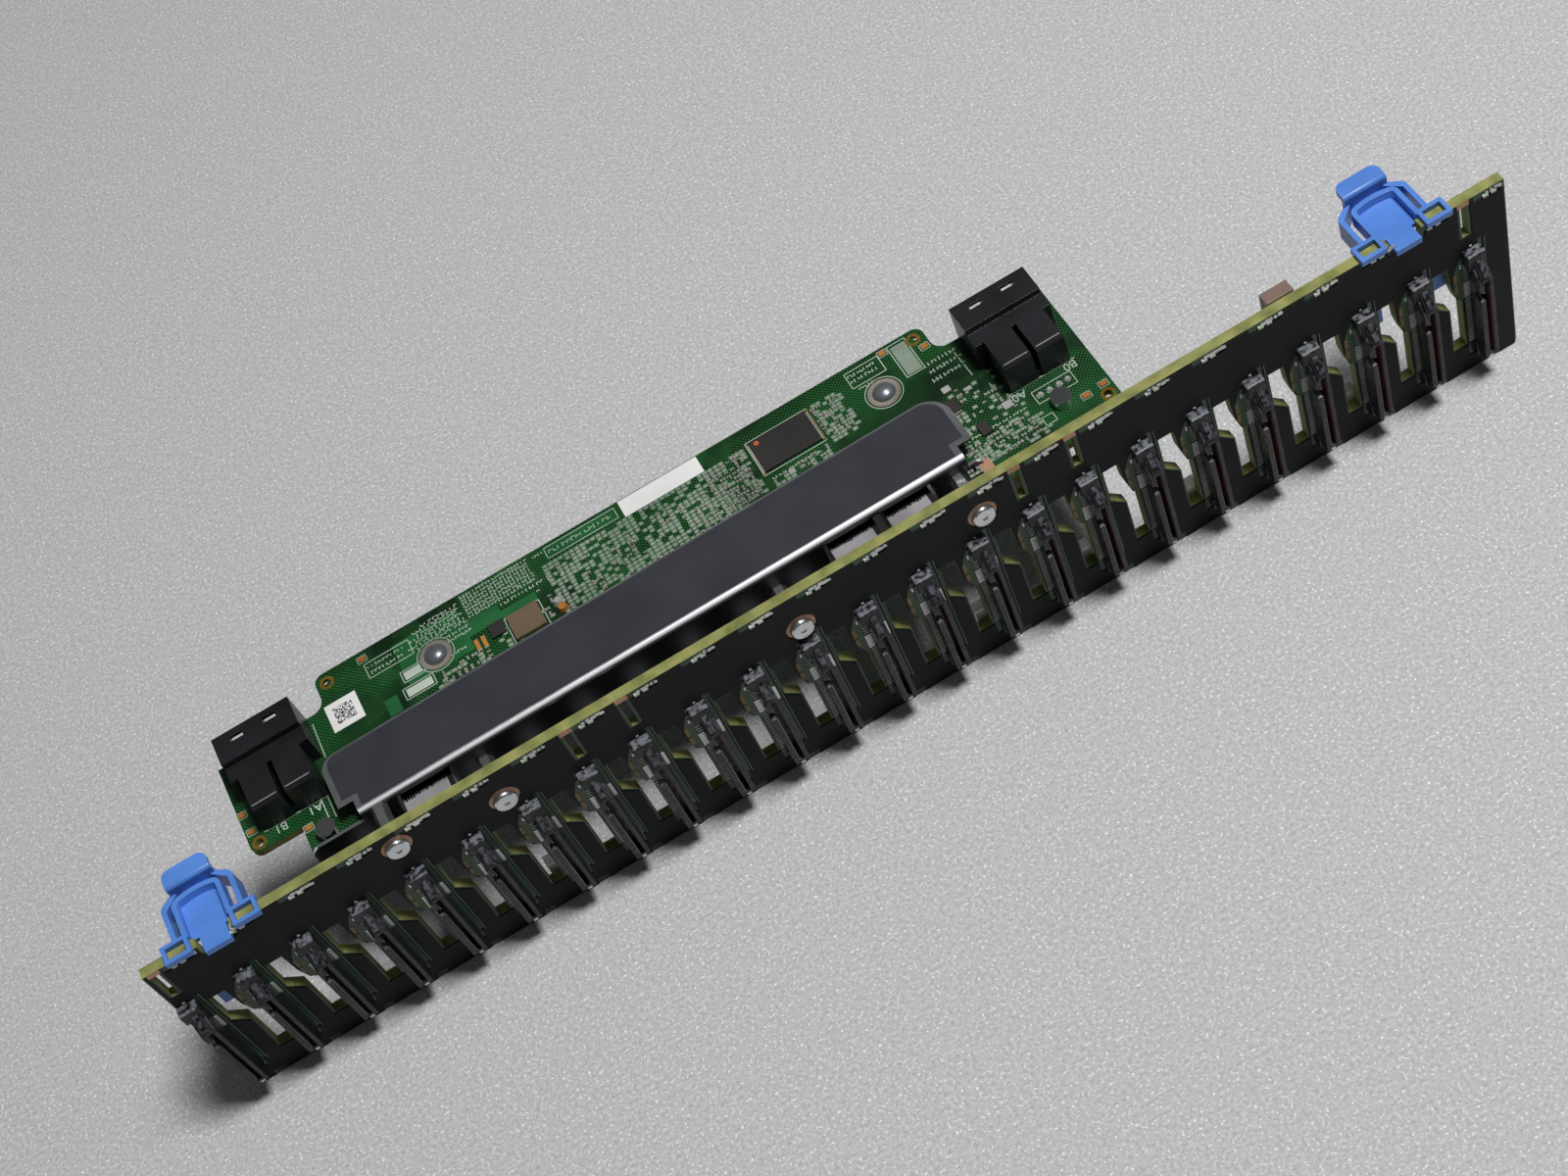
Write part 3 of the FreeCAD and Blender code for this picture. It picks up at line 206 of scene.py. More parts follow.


# %% [markdown]
# ## Worn plastic and folded sheet, with painted light
# Two more finishes look at the direction of the face. The black connectors get pale scuffs where a drive
# rubs on them, shown only on the faces that look up, so the scuffs are also a painted highlight from the
# light above.
# The zinc of the bracket has a painted highlight along its bend, and painted shade on the wall below the
# bend.

# %% Worn plastic and folded sheet, with painted light
def make_scuffed_plastic_with_painted_highlight(name, dark, light, scuff_and_highlight):
    """Black plastic with pale scuffs, shown on upward faces only, where they are also a painted highlight.
    """
    finish = Finish(name)
    mottle = finish.ramp(finish.noise(300), 0.35, 0.65)
    plain = finish.mix(mottle, shade(*dark), shade(*light))
    normal = finish.add("ShaderNodeNewGeometry").outputs["Normal"]
    upward = finish.ramp(finish.add("ShaderNodeSeparateXYZ", {0: normal}).outputs[2], 0.3, 0.8)
    scuffs = finish.ramp(finish.noise(700, 4), 0.38, 0.6)
    # Pale scuffs on up-facing faces only: real wear that is also a painted highlight from above.
    finish.colour(finish.mix(finish.math("MULTIPLY", upward, scuffs), plain, shade(*scuff_and_highlight)))
    span = {"Value": scuffs, "To Min": 0.32, "To Max": 0.55}
    finish.rough(finish.add("ShaderNodeMapRange", span).outputs[0])
    finish.bump(finish.noise(1500, 4), 0.00002)
    return finish.material


def make_folded_sheet(name, dark, light, bright):
    """Plated sheet metal with a painted highlight along a bend, and painted shade on upright walls."""
    finish = Finish(name)
    mottle = finish.ramp(finish.noise(80), 0.35, 0.65)
    flat = finish.mix(mottle, shade(*dark), shade(*light))
    normal = finish.add("ShaderNodeNewGeometry").outputs["Normal"]
    upward = finish.add("ShaderNodeSeparateXYZ", {0: normal}).outputs[2]
    # Painted shade: upright walls take half the dark tone.
    painted_wall_shade = tuple(part * 0.5 for part in dark)
    flat = finish.mix(finish.ramp(upward, 0.1, 0.4), shade(*painted_wall_shade), flat)
    # Painted highlight: faces that turn between upright and level, along the bend, take the bright colour.
    rising = finish.ramp(upward, 0.5, 0.75)
    level = finish.ramp(upward, 0.88, 0.97)
    painted_bend_highlight = finish.math("MULTIPLY", rising, finish.math("SUBTRACT", 1.0, level))
    finish.colour(finish.mix(painted_bend_highlight, flat, shade(*bright)))
    plating = {"Value": painted_bend_highlight, "To Min": 0.9, "To Max": 0.25}
    span = finish.add("ShaderNodeMapRange", plating).outputs[0]
    finish.tree.links.new(span, finish.shader.inputs["Metallic"])
    grain = {"Value": finish.noise(1500, 4), "To Min": 0.26, "To Max": 0.4}
    finish.rough(finish.add("ShaderNodeMapRange", grain).outputs[0])
    finish.bump(finish.noise(400, 2), 0.00001, 0.2)
    return finish.material


# %% [markdown]
# ## The finishes
# Every other finish is the same soft mottle in other tones, with more or less gloss, metal and grain.

# %% The finishes
MATERIALS = {
    "main_board": make_board_finish(
        "board_lacquer", 1, (16, 46, 28), (24, 66, 40), (112, 116, 62), (150, 150, 90)
    ),
    "expander": make_board_finish(
        "expander_lacquer", 2, (12, 38, 17), (20, 58, 27), (112, 102, 46), (154, 144, 82), 0.75
    ),
    "bright_lacquer": speckled("bright_lacquer", (18, 78, 40), (34, 98, 54), 2500, roughness=(0.35, 0.5)),
    "mid_lacquer": speckled("open_lacquer", (26, 66, 34), (44, 88, 50), 2500, roughness=(0.35, 0.5)),
    "land": speckled("land_lacquer", (28, 58, 32), (44, 80, 44), 2500, roughness=(0.35, 0.5)),
    "front_film": speckled(
        "black_film", (18, 18, 19), (23, 23, 24), 3000, roughness=(0.55, 0.75), shine=0.25
    ),
    # The third colour is the pale scuffing, which is also a painted highlight on the faces that look up.
    "connector": make_scuffed_plastic_with_painted_highlight("black_nylon", (15, 15, 17), (25, 25, 28), (112, 114, 122)),
    "brown_strip": speckled("contact_strip", (74, 44, 38), (96, 60, 50), 1500, roughness=(0.4, 0.6)),
    "contact": speckled("contact_bar", (120, 114, 110), (150, 142, 134), 1500, 0.3, (0.35, 0.5)),
    "pale_green": speckled("bare_lacquer_line", (70, 104, 74), (98, 130, 96), 1500, roughness=(0.4, 0.6)),
    "port": speckled("port_plastic", (26, 26, 29), (38, 38, 42), 2200, roughness=(0.25, 0.45)),
    "pale": speckled("pale_plastic", (128, 126, 130), (156, 154, 158), 1200, roughness=(0.45, 0.6)),
    "blue": speckled("blue_acetal", (82, 128, 208), (92, 142, 224), 1400, roughness=(0.3, 0.42)),
    # The third colour is the painted highlight along the bracket's bend.
    "zinc": make_folded_sheet("zinc_sheet", (150, 152, 157), (178, 180, 185), (238, 238, 238)),
    "grey_film": speckled("grey_film", (48, 49, 55), (55, 56, 63), 4000, roughness=(0.5, 0.65), shine=0.3),
    "steel": speckled("plated_steel", (196, 198, 199), (222, 224, 225), 1800, 0.95, (0.18, 0.32)),
    "dome": speckled("screw_dome", (118, 122, 128), (146, 150, 156), 1800, 0.6, (0.25, 0.4)),
    "copper": speckled("copper_pad", (176, 128, 100), (200, 156, 126), 1500, 0.4, (0.35, 0.55)),
    "dull_gold": speckled("dull_gold", (100, 84, 40), (134, 108, 58), 1500, 0.2, (0.4, 0.55)),
    "ring": speckled("screw_ring", (122, 112, 98), (152, 142, 126), 1500, 0.4, (0.35, 0.5)),
    "brass": speckled("plated_ring", (150, 112, 44), (186, 146, 70), 1500, 0.7, (0.25, 0.4)),
    "gold": speckled("gold_pad", (168, 106, 44), (194, 134, 68), 1500, 0.3, (0.4, 0.55)),
    "solder": speckled("bright_solder", (196, 198, 196), (232, 232, 228), 2500, 0.6, (0.2, 0.4)),
    "tin": speckled("tinned_pad", (146, 166, 146), (182, 196, 180), 2500, 0.3, (0.3, 0.5)),
    "sink": speckled("black_anodised", (26, 26, 28), (34, 34, 36), 2500, 0.4, (0.4, 0.55)),
    "tan": speckled("tan_plastic", (112, 92, 82), (128, 106, 96), 1400),
    "chip": speckled("chip_moulding", (30, 28, 27), (40, 38, 36), 3500, roughness=(0.5, 0.65)),
    "brown_chip": speckled("brown_chip", (92, 78, 58), (108, 92, 70), 3000, roughness=(0.45, 0.6)),
    "label": speckled("label_paper", (222, 222, 220), (236, 236, 234), 3500, roughness=(0.5, 0.6)),
    "ink": speckled("printed_ink", (60, 60, 62), (78, 78, 80), 2500),
    "white_ink": speckled("board_print", (158, 172, 158), (190, 202, 188), 2500, roughness=(0.5, 0.65)),
    "pad_print": speckled("pad_outline", (124, 142, 122), (158, 174, 154), 2500, roughness=(0.45, 0.6)),
    "lead": speckled("dull_tin", (146, 152, 144), (184, 190, 182), 2500, 0.3, (0.35, 0.5)),
    "chrome": speckled("polished_chrome", (206, 208, 210), (228, 230, 232), 1200, 1.0, (0.08, 0.16)),
    "capacitor": speckled("ceramic_body", (94, 96, 80), (124, 126, 106), 3000, roughness=(0.35, 0.5)),
    "lens": speckled("lamp_body", (196, 204, 188), (222, 226, 214), 2500, roughness=(0.25, 0.4)),
    "dot": speckled("orange_mark", (186, 78, 52), (200, 92, 62), 2500),
}
print("materials:", len(MATERIALS))

# %% [markdown]
# ## Softening the CAD solids
# A moulding or a stamped sheet never has knife edges: a thin bright line runs along each one where it
# catches the light. The CAD nodes arrive as loose triangles, so a copy is welded, its flat faces are joined
# again, and its sharp edges are bevelled. The copy then stands for the node.


# %% Softened copies
def finish_piece(name, mesh, material):
    piece = bpy.data.objects.new(name, mesh)
    bpy.context.scene.collection.objects.link(piece)
    mesh.materials.clear()
    mesh.materials.append(MATERIALS[material])
    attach(piece, ROOT)
    return piece


def round_edges(shape, edges, width, segments=1):
    """Bevel some edges by a width in mm, and return the points made."""
    return bmesh.ops.bevel(
        shape, geom=edges, offset=width * MM, offset_type="OFFSET", affect="EDGES", segments=segments,
        profile=0.5, material=-1, clamp_overlap=True,
    )["verts"]


def soften(node_name, material, width):
    """Stand a bevelled copy in for a CAD node."""
    shape = bmesh.new()
    shape.from_mesh(nodes[node_name].data)
    bmesh.ops.remove_doubles(shape, verts=shape.verts, dist=1e-6)
    bmesh.ops.dissolve_limit(shape, angle_limit=math.radians(1), verts=shape.verts, edges=shape.edges)
    joints = [edge for edge in shape.edges if len(edge.link_faces) == 2]
    sharp = [edge for edge in joints if edge.calc_face_angle() > math.radians(35)]
    round_edges(shape, sharp, width, 2)
    mesh = bpy.data.meshes.new(f"{node_name}_soft")
    shape.to_mesh(mesh)
    shape.free()
    piece = finish_piece(f"{node_name}_soft", mesh, material)
    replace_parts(piece, node_name)


def dress(node_name, material):
    """Keep a CAD node as it is and give it a finish."""
    for slot in nodes[node_name].material_slots:
        slot.material = MATERIALS[material]


# %% [markdown]
# ## Helpers for new parts
# The parts that the frame lacks are built in a bmesh, from blocks, rods and rings that are put straight in
# their place. Many shapes go into one mesh, which keeps the object light. Rods and rings are made along Z,
# so the ones on the board's front are turned before they move.

# %% Helpers for new parts
TURNS = {"Z": Matrix.Identity(3), "-Y": Matrix.Rotation(math.radians(90), 3, "X")}


def begin():
    return bmesh.new()


def at(along, behind, up):
    """A place on the board: mm from its left end, mm behind its front face, mm above its bottom edge."""
    return Vector((LEFT + along * MM, FRONT + behind * MM, up * MM))


def stand(shape, made, axis, centre):
    """Turn points made along Z to their axis and bring them to their centre."""
    bmesh.ops.rotate(shape, verts=made, cent=(0, 0, 0), matrix=TURNS[axis])
    bmesh.ops.translate(shape, verts=made, vec=centre)


def turn_flat(shape, made, degrees, place):
    """Turn points about the upright axis and bring them to their place."""
    matrix = Matrix.Rotation(math.radians(degrees), 3, "Z")
    bmesh.ops.rotate(shape, verts=made, cent=(0, 0, 0), matrix=matrix)
    bmesh.ops.translate(shape, verts=made, vec=place)


def point_outwards(shape, made):
    faces = list({face for vertex in made for face in vertex.link_faces})
    bmesh.ops.recalc_face_normals(shape, faces=faces)


def add_block(shape, low, high, bevel=0.0):
    """A box between two places, with its edges bevelled by some mm."""
    size = high - low
    made = bmesh.ops.create_cube(shape, size=1.0)["verts"]
    bmesh.ops.scale(shape, verts=made, vec=size)
    bmesh.ops.translate(shape, verts=made, vec=(low + high) / 2)
    if bevel:
        made = round_edges(shape, list({edge for vertex in made for edge in vertex.link_edges}), bevel)
    return made


def add_rod(shape, centre, radius, length, axis="Z", sides=16, top_radius=None):
    """A rod or cone from a centre on its base, with its length along an axis."""
    top = radius if top_radius is None else top_radius
    made = bmesh.ops.create_cone(
        shape, cap_ends=True, segments=sides, radius1=radius * MM, radius2=top * MM, depth=length * MM
    )["verts"]
    bmesh.ops.translate(shape, verts=made, vec=(0, 0, length * MM / 2))
    stand(shape, made, axis, centre)


def joined_to(edges):
    """All the points that a walk along edges can reach from some edges."""
    found = {vertex for edge in edges for vertex in edge.verts}
    border = list(found)
    while border:
        vertex = border.pop()
        for edge in vertex.link_edges:
            other = edge.other_vert(vertex)
            if other not in found:
                found.add(other)
                border.append(other)
    return list(found)


def add_ring(shape, centre, inner, outer, thickness, axis="Z", steps=32):
    """A flat ring, spun from the rectangle of its section. Its base is at the centre."""
    section = [(inner, 0), (outer, 0), (outer, thickness), (inner, thickness)]
    corners = [shape.verts.new((radius * MM, 0, height * MM)) for radius, height in section]
    edges = [shape.edges.new((corners[index], corners[(index + 1) % 4])) for index in range(4)]
    bmesh.ops.spin(
        shape, geom=corners + edges, cent=(0, 0, 0), axis=(0, 0, 1), angle=math.tau, steps=steps,
        use_merge=True,
    )
    made = joined_to(edges)
    point_outwards(shape, made)
    stand(shape, made, axis, centre)


def build(name, shape, material):
    """Turn a bmesh into a piece of the object."""
    mesh = bpy.data.meshes.new(name)
    shape.to_mesh(mesh)
    shape.free()
    piece = finish_piece(name, mesh, material)
    print(name, "faces:", len(mesh.polygons))
    return piece


# %% [markdown]
# ## Dressing the CAD nodes
# The mouldings, headers and chips get softened copies. The boards, films, sheet and small hardware keep
# their own mesh, because their edges are too thin for a bevel to show, and only get their finish.

# %% Dress the CAD nodes
for side in ("left", "right"):
    soften(f"release_latch_{side}", "blue", 0.25)
    soften(f"cable_port_{side}", "port", 0.22)
for number in (1, 2, 3):
    soften(f"board_header_{number}", "pale", 0.2)
    soften(f"board_socket_{number}", "port", 0.2)
for name in ("memory_chip", "small_chip", "expander_chip"):
    soften(name, "chip", 0.12)
soften("power_connector", "tan", 0.2)
soften("heat_sink", "sink", 0.15)
dress("main_board", "main_board")
dress("expander_board", "expander")
dress("front_film", "front_film")
dress("bracket", "zinc")
dress("bracket_film", "grey_film")
for name in ("bracket_screws", "bracket_standoffs", "fixing_screws", "fixing_bosses"):
    dress(name, "steel")
dress("shoulder_studs", "chrome")
dress("status_lights", "lens")
dress("blank_label", "label")
dress("code_label", "label")

# %% [markdown]
# ## Drive connectors
# Each connector is a tall narrow moulding with a deep key slot between two thin walls. A cap lies across
# its top, and under the cap a ramp guides the drive in. The left wall is cut through where the slot changes
# from the short row of contacts to the long one. The moulding is drawn once as side profiles that are
# pushed out across the connector, and all 24 connectors repeat it.

# %% Connector mouldings
def add_profile(shape, left, low, high, profile, bevel=0.15):
    """Push a side profile, pairs of mm in front and mm up, out from low to high mm right of a column."""
    corners = [shape.verts.new((left + low * MM, FRONT - ahead * MM, up * MM)) for ahead, up in profile]
    face = shape.faces.new(corners)
    grown = bmesh.ops.extrude_face_region(shape, geom=[face])["geom"]
    moved = [item for item in grown if isinstance(item, bmesh.types.BMVert)]
    bmesh.ops.translate(shape, verts=moved, vec=((high - low) * MM, 0, 0))
    made = corners + moved
    point_outwards(shape, made)
    round_edges(shape, list({edge for vertex in made for edge in vertex.link_edges}), bevel)


def add_connector(shape, left):
    foot = [(0, 9.0), (5.9, 9.6), (6.4, 10.4)]
    head = [(6.4, 43.2), (5.6, 44.6), (2.6, 49.0), (0, 49.0)]
    lower_wall = foot + [(6.4, 35.6), (3.4, 36.6), (0, 36.6)]
    upper_wall = [(0, 36.6), (3.2, 36.6), (3.6, 38.6), (6.4, 39.4)] + head
    right_wall = foot + head
    rib = [(2.0, 50.0), (6.4, 45.4), (7.0, 46.2), (3.0, 51.6), (2.0, 51.6)]
    cap = [(0, 47.6), (3.0, 47.6), (3.6, 48.3), (3.6, 52.5), (3.1, 53.1), (0, 53.1)]
    add_profile(shape, left, 0.7, 2.1, lower_wall)
    add_profile(shape, left, 0.7, 2.1, upper_wall)
    add_profile(shape, left, 4.0, 5.15, right_wall)
    add_profile(shape, left, 1.9, 4.2, [(0, 9.2), (1.6, 9.2), (1.6, 48.0), (0, 48.0)], 0.05)
    add_profile(shape, left, 1.9, 4.2, [(0, 9.1), (5.8, 9.7), (5.8, 10.9), (0, 10.9)], 0.1)
    add_profile(shape, left, 1.5, 4.4, [(0, 44.4), (6.6, 43.4), (6.6, 44.6), (3.2, 50.2), (0, 50.6)], 0.25)
    add_profile(shape, left, 2.0, 3.9, rib, 0.2)
    add_profile(shape, left, -0.4, 5.4, cap, 0.25)
    add_profile(shape, left, 0.4, 2.0, [(0, 7.2), (2.4, 7.8), (2.8, 13.0), (0, 14.0)], 0.15)


for name, left in zip(connector_names, columns):
    shape = begin()
    add_connector(shape, left)
    mesh = bpy.data.meshes.new(f"{name}_fine")
    shape.to_mesh(mesh)
    shape.free()
    piece = finish_piece(f"{name}_fine", mesh, "connector")
    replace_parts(piece, name)
print("faces in a connector:", len(mesh.polygons))

# %% [markdown]
# ## Contacts in the slots
# The walls of the slot hold the contacts: short pale bars on the left wall and a brown strip on the right
# one. The bars stop where the left wall is cut through.

# %% Contacts in the slots
CONTACT_PITCH = 1.27
strips = begin()
bars = begin()
for left in columns:
    add_profile(strips, left, 3.86, 4.02, [(1.4, 11.0), (6.1, 11.0), (6.1, 43.0), (1.4, 43.0)], 0.02)
    for step in range(25):
        height = 11.8 + CONTACT_PITCH * step
        if not 35.4 < height < 38.4:
            low = Vector((left + 2.0 * MM, FRONT - 6.0 * MM, height * MM))
            add_block(bars, low, low + Vector((0.4, 3.0, 0.5)) * MM)
build("slot_strips", strips, "brown_strip")
build("slot_bars", bars, "contact")

# %% [markdown]
# ## Solder leads of the drive connectors
# Each connector is soldered along its left side with a row of small bright leads: six at the top, eight
# packed together, and sixteen below. The row is the same for all, so it is made once as heights, and every
# connector takes it at its own place. At the left end of the board there is room for short leads only.

# %% Connector leads
LEAD_HEIGHTS = [48.0 - CONTACT_PITCH * step for step in range(6)]
LEAD_HEIGHTS += [33.2 - CONTACT_PITCH * step for step in range(16)]
FINE_HEIGHTS = [40.2 - 0.8 * step for step in range(8)]


def add_lead(shape, left, height, width, reach):
    low = Vector((max(left - reach * MM, cad_box[0].x), FRONT - 0.9 * MM, (height - width / 2) * MM))
    add_block(shape, low, Vector((left + 0.75 * MM, FRONT, (height + width / 2) * MM)))


shape = begin()
fine = begin()
for left in columns:
    for height in LEAD_HEIGHTS:
        add_lead(shape, left, height, 0.5, 0.8)
    for height in FINE_HEIGHTS:
        add_lead(fine, left, height, 0.6, 1.0)
    add_profile(shape, left, 2.1, 2.9, [(0.2, 53.7), (0.6, 53.7), (0.6, 54.2), (0.2, 54.2)], 0.05)
build("connector_leads", shape, "lead")
build("fine_leads", fine, "solder")

# %% [markdown]
# ## Lands beside the connectors
# The film leaves the lacquer bare on both sides of a connector. On its left a green land bulges towards the
# vent and carries two dull gold pads. On its right a green strip has a pale line down its edge and one long
# tinned pad. Behind five of the vents a bent metal clip shows.

# %% Green lands
LAND_DEPTH = 0.34 * MM
LAND_OUTLINE = [
    (-0.3, 50.4), (-1.3, 50.4), (-3.2, 46.4), (-3.9, 43.6), (-3.9, 37.2), (-2.0, 33.0), (-0.3, 33.0),
]
TINNED_PAD = [(0.0, 35.0), (0.5, 35.0), (0.7, 36.6), (0.5, 41.0), (0.0, 41.0)]
CLIP = [(-3.3, 10.5), (-3.3, 16.5), (-5.6, 18.2), (-5.9, 17.6), (-3.9, 16.0), (-3.9, 10.5)]
CLIP_COLUMNS = (6, 14, 16, 18, 21)

lands = begin()
lines = begin()
pads = begin()
tins = begin()
for index, left in enumerate(columns):
    if index:
        front = FRONT - LAND_DEPTH
        corners = [lands.verts.new((left + along * MM, front, up * MM)) for along, up in LAND_OUTLINE]
        face = lands.faces.new(corners)
        grown = bmesh.ops.extrude_face_region(lands, geom=[face])["geom"]
        moved = [item for item in grown if isinstance(item, bmesh.types.BMVert)]
        bmesh.ops.translate(lands, verts=moved, vec=(0, LAND_DEPTH, 0))
        point_outwards(lands, corners + moved)
        for low, high in ((41.4, 44.8), (37.2, 40.2)):
            add_profile(pads, left, -3.8, -2.8, [(0.3, low), (0.5, low), (0.5, high), (0.3, high)], 0.03)
        add_profile(tins, left, -1.6, -1.1, [(0.3, 46.6), (0.5, 46.6), (0.5, 48.2), (0.3, 48.2)], 0.03)
    add_profile(lines, left, 6.9, 7.15, [(0.28, 10.5), (0.36, 10.5), (0.36, 54.4), (0.28, 54.4)], 0.02)
    add_profile(tins, left, 5.2, 6.2, TINNED_PAD, 0.08)
    add_profile(tins, left, 2.2, 3.6, [(4.2, 8.3), (5.4, 8.3), (5.6, 9.6), (4.4, 9.6)], 0.1)
for index in CLIP_COLUMNS:
    add_profile(tins, columns[index], -4.7, -1.0, CLIP, 0.06)
build("green_lands", lands, "land")
build("strip_lines", lines, "pale_green")
build("orange_pads", pads, "dull_gold")
build("tinned_pads", tins, "solder")

# %% [markdown]
# ## Status-light clusters
# Over every vent the film is cut back in a shallow notch, and a small cluster of solder joints shows there
# beside the lamps. Their sizes vary a little, so they are dealt from a seeded generator.

# %% Status-light clusters
cluster = random.Random(7)
joints = begin()
for left in columns:
    for along in (8.5, 10.0, 11.4, 12.8, 14.1):
        wide = cluster.uniform(0.9, 1.7)
        tall = cluster.uniform(0.6, 1.1)
        low = Vector((left + along * MM, FRONT - 0.5 * MM, (71.9 - tall + cluster.uniform(-0.3, 0.2)) * MM))
        if low.x + wide * MM < board_high.x:
            add_block(joints, low, low + Vector((wide, 0.5, tall)) * MM, 0.12)
build("cluster_joints", joints, "solder")

# %% [markdown]
# ## Copper pads and screws on the front
# Four pan-head screws hold the bracket. Under each head the lacquer stops, and a ring of bare copper shows.
# More bare copper lies along the top and bottom edges of the board.

# %% Copper rings and board-edge pads
SCREWS = [(74.6, 66.0), (105.3, 60.0), (197.7, 59.0), (255.5, 61.4)]

shape = begin()
for along, up in SCREWS:
    add_ring(shape, at(along, 0, up), 2.6, 4.35, 0.08, axis="-Y")
for along in (3.0, 128.7, 145.8, 267.8, 285.3, 409.5):
    add_block(shape, at(along - 1.9, -0.08, 70.6), at(along + 1.9, 0, 72.3))
for along in (0.9, 141.2, 282.7, 408.6):
    add_block(shape, at(along, -0.1, 0.3), at(along + 5.0, 0, 3.4), 0.03)
add_ring(shape, at(420.0, 0, 2.6), 0.9, 2.4, 0.1, axis="-Y")
build("copper_pads", shape, "copper")

# %% [markdown]
# ## Pan heads
# A head is a stack of circles joined into a skin. The outer circles give the rounded rim. The two inner
# ones have their points pushed in and out in six lobes, which sinks the recess that the driver fits in.

# %% Pan heads
def add_lobed_head(shape, centre, radius, height, axis, sides=36):
    """A pan head with a rounded rim and a six-lobed recess, its underside at the centre."""
    rim = [(1.0, 0.0), (1.0, 0.5), (0.96, 0.78), (0.86, 0.96), (0.6, 1.0)]
    loops = []
    made = []
    for wide, tall in rim:
        verts = bmesh.ops.create_circle(shape, segments=sides, radius=radius * wide * MM)["verts"]
        bmesh.ops.translate(shape, verts=verts, vec=(0, 0, tall * height * MM))
        loops.append(verts)
        made += verts
    for depth in (1.0, 0.84):
        verts = bmesh.ops.create_circle(shape, segments=sides, radius=radius * 0.24 * MM)["verts"]
        for vertex in verts:
            lobe = 1 + 0.16 * math.cos(6 * math.atan2(vertex.co.y, vertex.co.x))
            vertex.co *= lobe
            vertex.co.z = depth * height * MM
        loops.append(verts)
        made += verts
    for first, second in zip(loops, loops[1:]):
        both = set(first + second)
        edges = [edge for edge in shape.edges if edge.verts[0] in both and edge.verts[1] in both]
        bmesh.ops.bridge_loops(shape, edges=edges)
    for verts in (loops[0], loops[-1]):
        bmesh.ops.contextual_create(shape, geom=verts)
    point_outwards(shape, made)
    stand(shape, made, axis, centre)


shape = begin()
for along, up in SCREWS:
    add_lobed_head(shape, at(along, 0, up), 3.6, 2.0, "-Y")
    add_rod(shape, at(along, 8.2, up), 1.5, 8.2, "-Y")
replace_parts(build("bracket_screws_fine", shape, "steel"), "bracket_screws")

# %% [markdown]
# ## Domed screws and ring pads
# Two domed screws fix the expander. Each is half a ball that is flattened and closed below, with a shank in
# its boss. Round it lies a flat ring with fine ticks. Four small brass rings lie elsewhere on the board.

# %% Domed screws and ring pads on the expander
SCREW_SPOTS = [(106.3, 53.2), (252.7, 53.2)]
TICKS = 36


def on_deck(along, depth, lift=0.0):
    """A place on the expander: mm from the left end, mm behind the front face, mm above the board."""
    return Vector((LEFT + along * MM, FRONT + depth * MM, DECK + lift * MM))


def add_slab(shape, left, right, front, back, height, bevel=0.0):
    """A block on the expander between two places along it and two depths."""
    add_block(shape, on_deck(left, front), on_deck(right, back, height), bevel)


def add_centred(shape, along, depth, wide, deep, height, bevel=0.0):
    """A block on the expander about its middle."""
    low = on_deck(along - wide / 2, depth - deep / 2)
    add_block(shape, low, on_deck(along + wide / 2, depth + deep / 2, height), bevel)


shape = begin()
for along, depth in SCREW_SPOTS:
    dome = bmesh.ops.create_uvsphere(shape, u_segments=32, v_segments=16, radius=1.0)["verts"]
    below = [vertex for vertex in dome if vertex.co.z < -0.01]
    bmesh.ops.delete(shape, geom=below, context="VERTS")
    dome = [vertex for vertex in dome if vertex.is_valid]
    bmesh.ops.holes_fill(shape, edges=[edge for edge in shape.edges if edge.is_boundary])
    bmesh.ops.scale(shape, verts=dome, vec=(3.4 * MM, 3.4 * MM, 2.2 * MM))
    bmesh.ops.translate(shape, verts=dome, vec=on_deck(along, depth))
    add_rod(shape, on_deck(along, depth, -7.4), 1.5, 7.4)
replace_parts(build("fixing_screws_fine", shape, "dome"), "fixing_screws")

rings = begin()
ticks = begin()
for along, depth in SCREW_SPOTS:
    add_ring(rings, on_deck(along, depth), 3.0, 5.0, 0.06)
    for tick in range(TICKS):
        made = add_block(ticks, Vector((3.6, -0.12, 0.0)) * MM, Vector((4.7, 0.12, 0.16)) * MM)
        turn_flat(ticks, made, 360 * tick / TICKS, on_deck(along, depth))
build("screw_rings", rings, "ring")
build("screw_ticks", ticks, "solder")
shape = begin()
for along, depth in ((40.3, 27.4), (75.3, 64.4), (268.2, 64.6), (303.2, 12.8)):
    add_ring(shape, on_deck(along, depth), 1.3, 2.2, 0.05)
build("ring_pads", shape, "brass")

# %% [markdown]
# ## A wider film on the bracket
# The grey film on the bracket reaches almost to the rear edge of the sheet and leaves a narrow border of
# bare zinc. The rear half of the node's points is moved back, which widens the film and keeps its corners.

# %% Bracket film
FILM_REACH = 1.0 * MM

shape = begin()
shape.from_mesh(nodes["bracket_film"].data)
bmesh.ops.remove_doubles(shape, verts=shape.verts, dist=1e-6)
film_low, film_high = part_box("bracket_film")
rear = [vertex for vertex in shape.verts if vertex.co.y > (film_low.y + film_high.y) / 2]
bmesh.ops.translate(shape, verts=rear, vec=(0, FILM_REACH, 0))
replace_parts(build("bracket_film_wide", shape, "grey_film"), "bracket_film")

# %% [markdown]
# ## Parts on the expander board
# The expander carries hundreds of tiny parts and pads. They are laid out in fields. Each field is a grid in
# line with the board, and some of its places are left empty. A part is a block between two bright ends that
# stand a little taller. A seeded random generator gives the same board each time.

# %% Small parts
BODY_SHARE = 0.55  # these four are shares of half the length, and of the height
END_MIDDLE = 0.78
END_HALF = 0.24
END_HEIGHT = 1.04

layout = random.Random(24)
bodies = begin()
ends = begin()


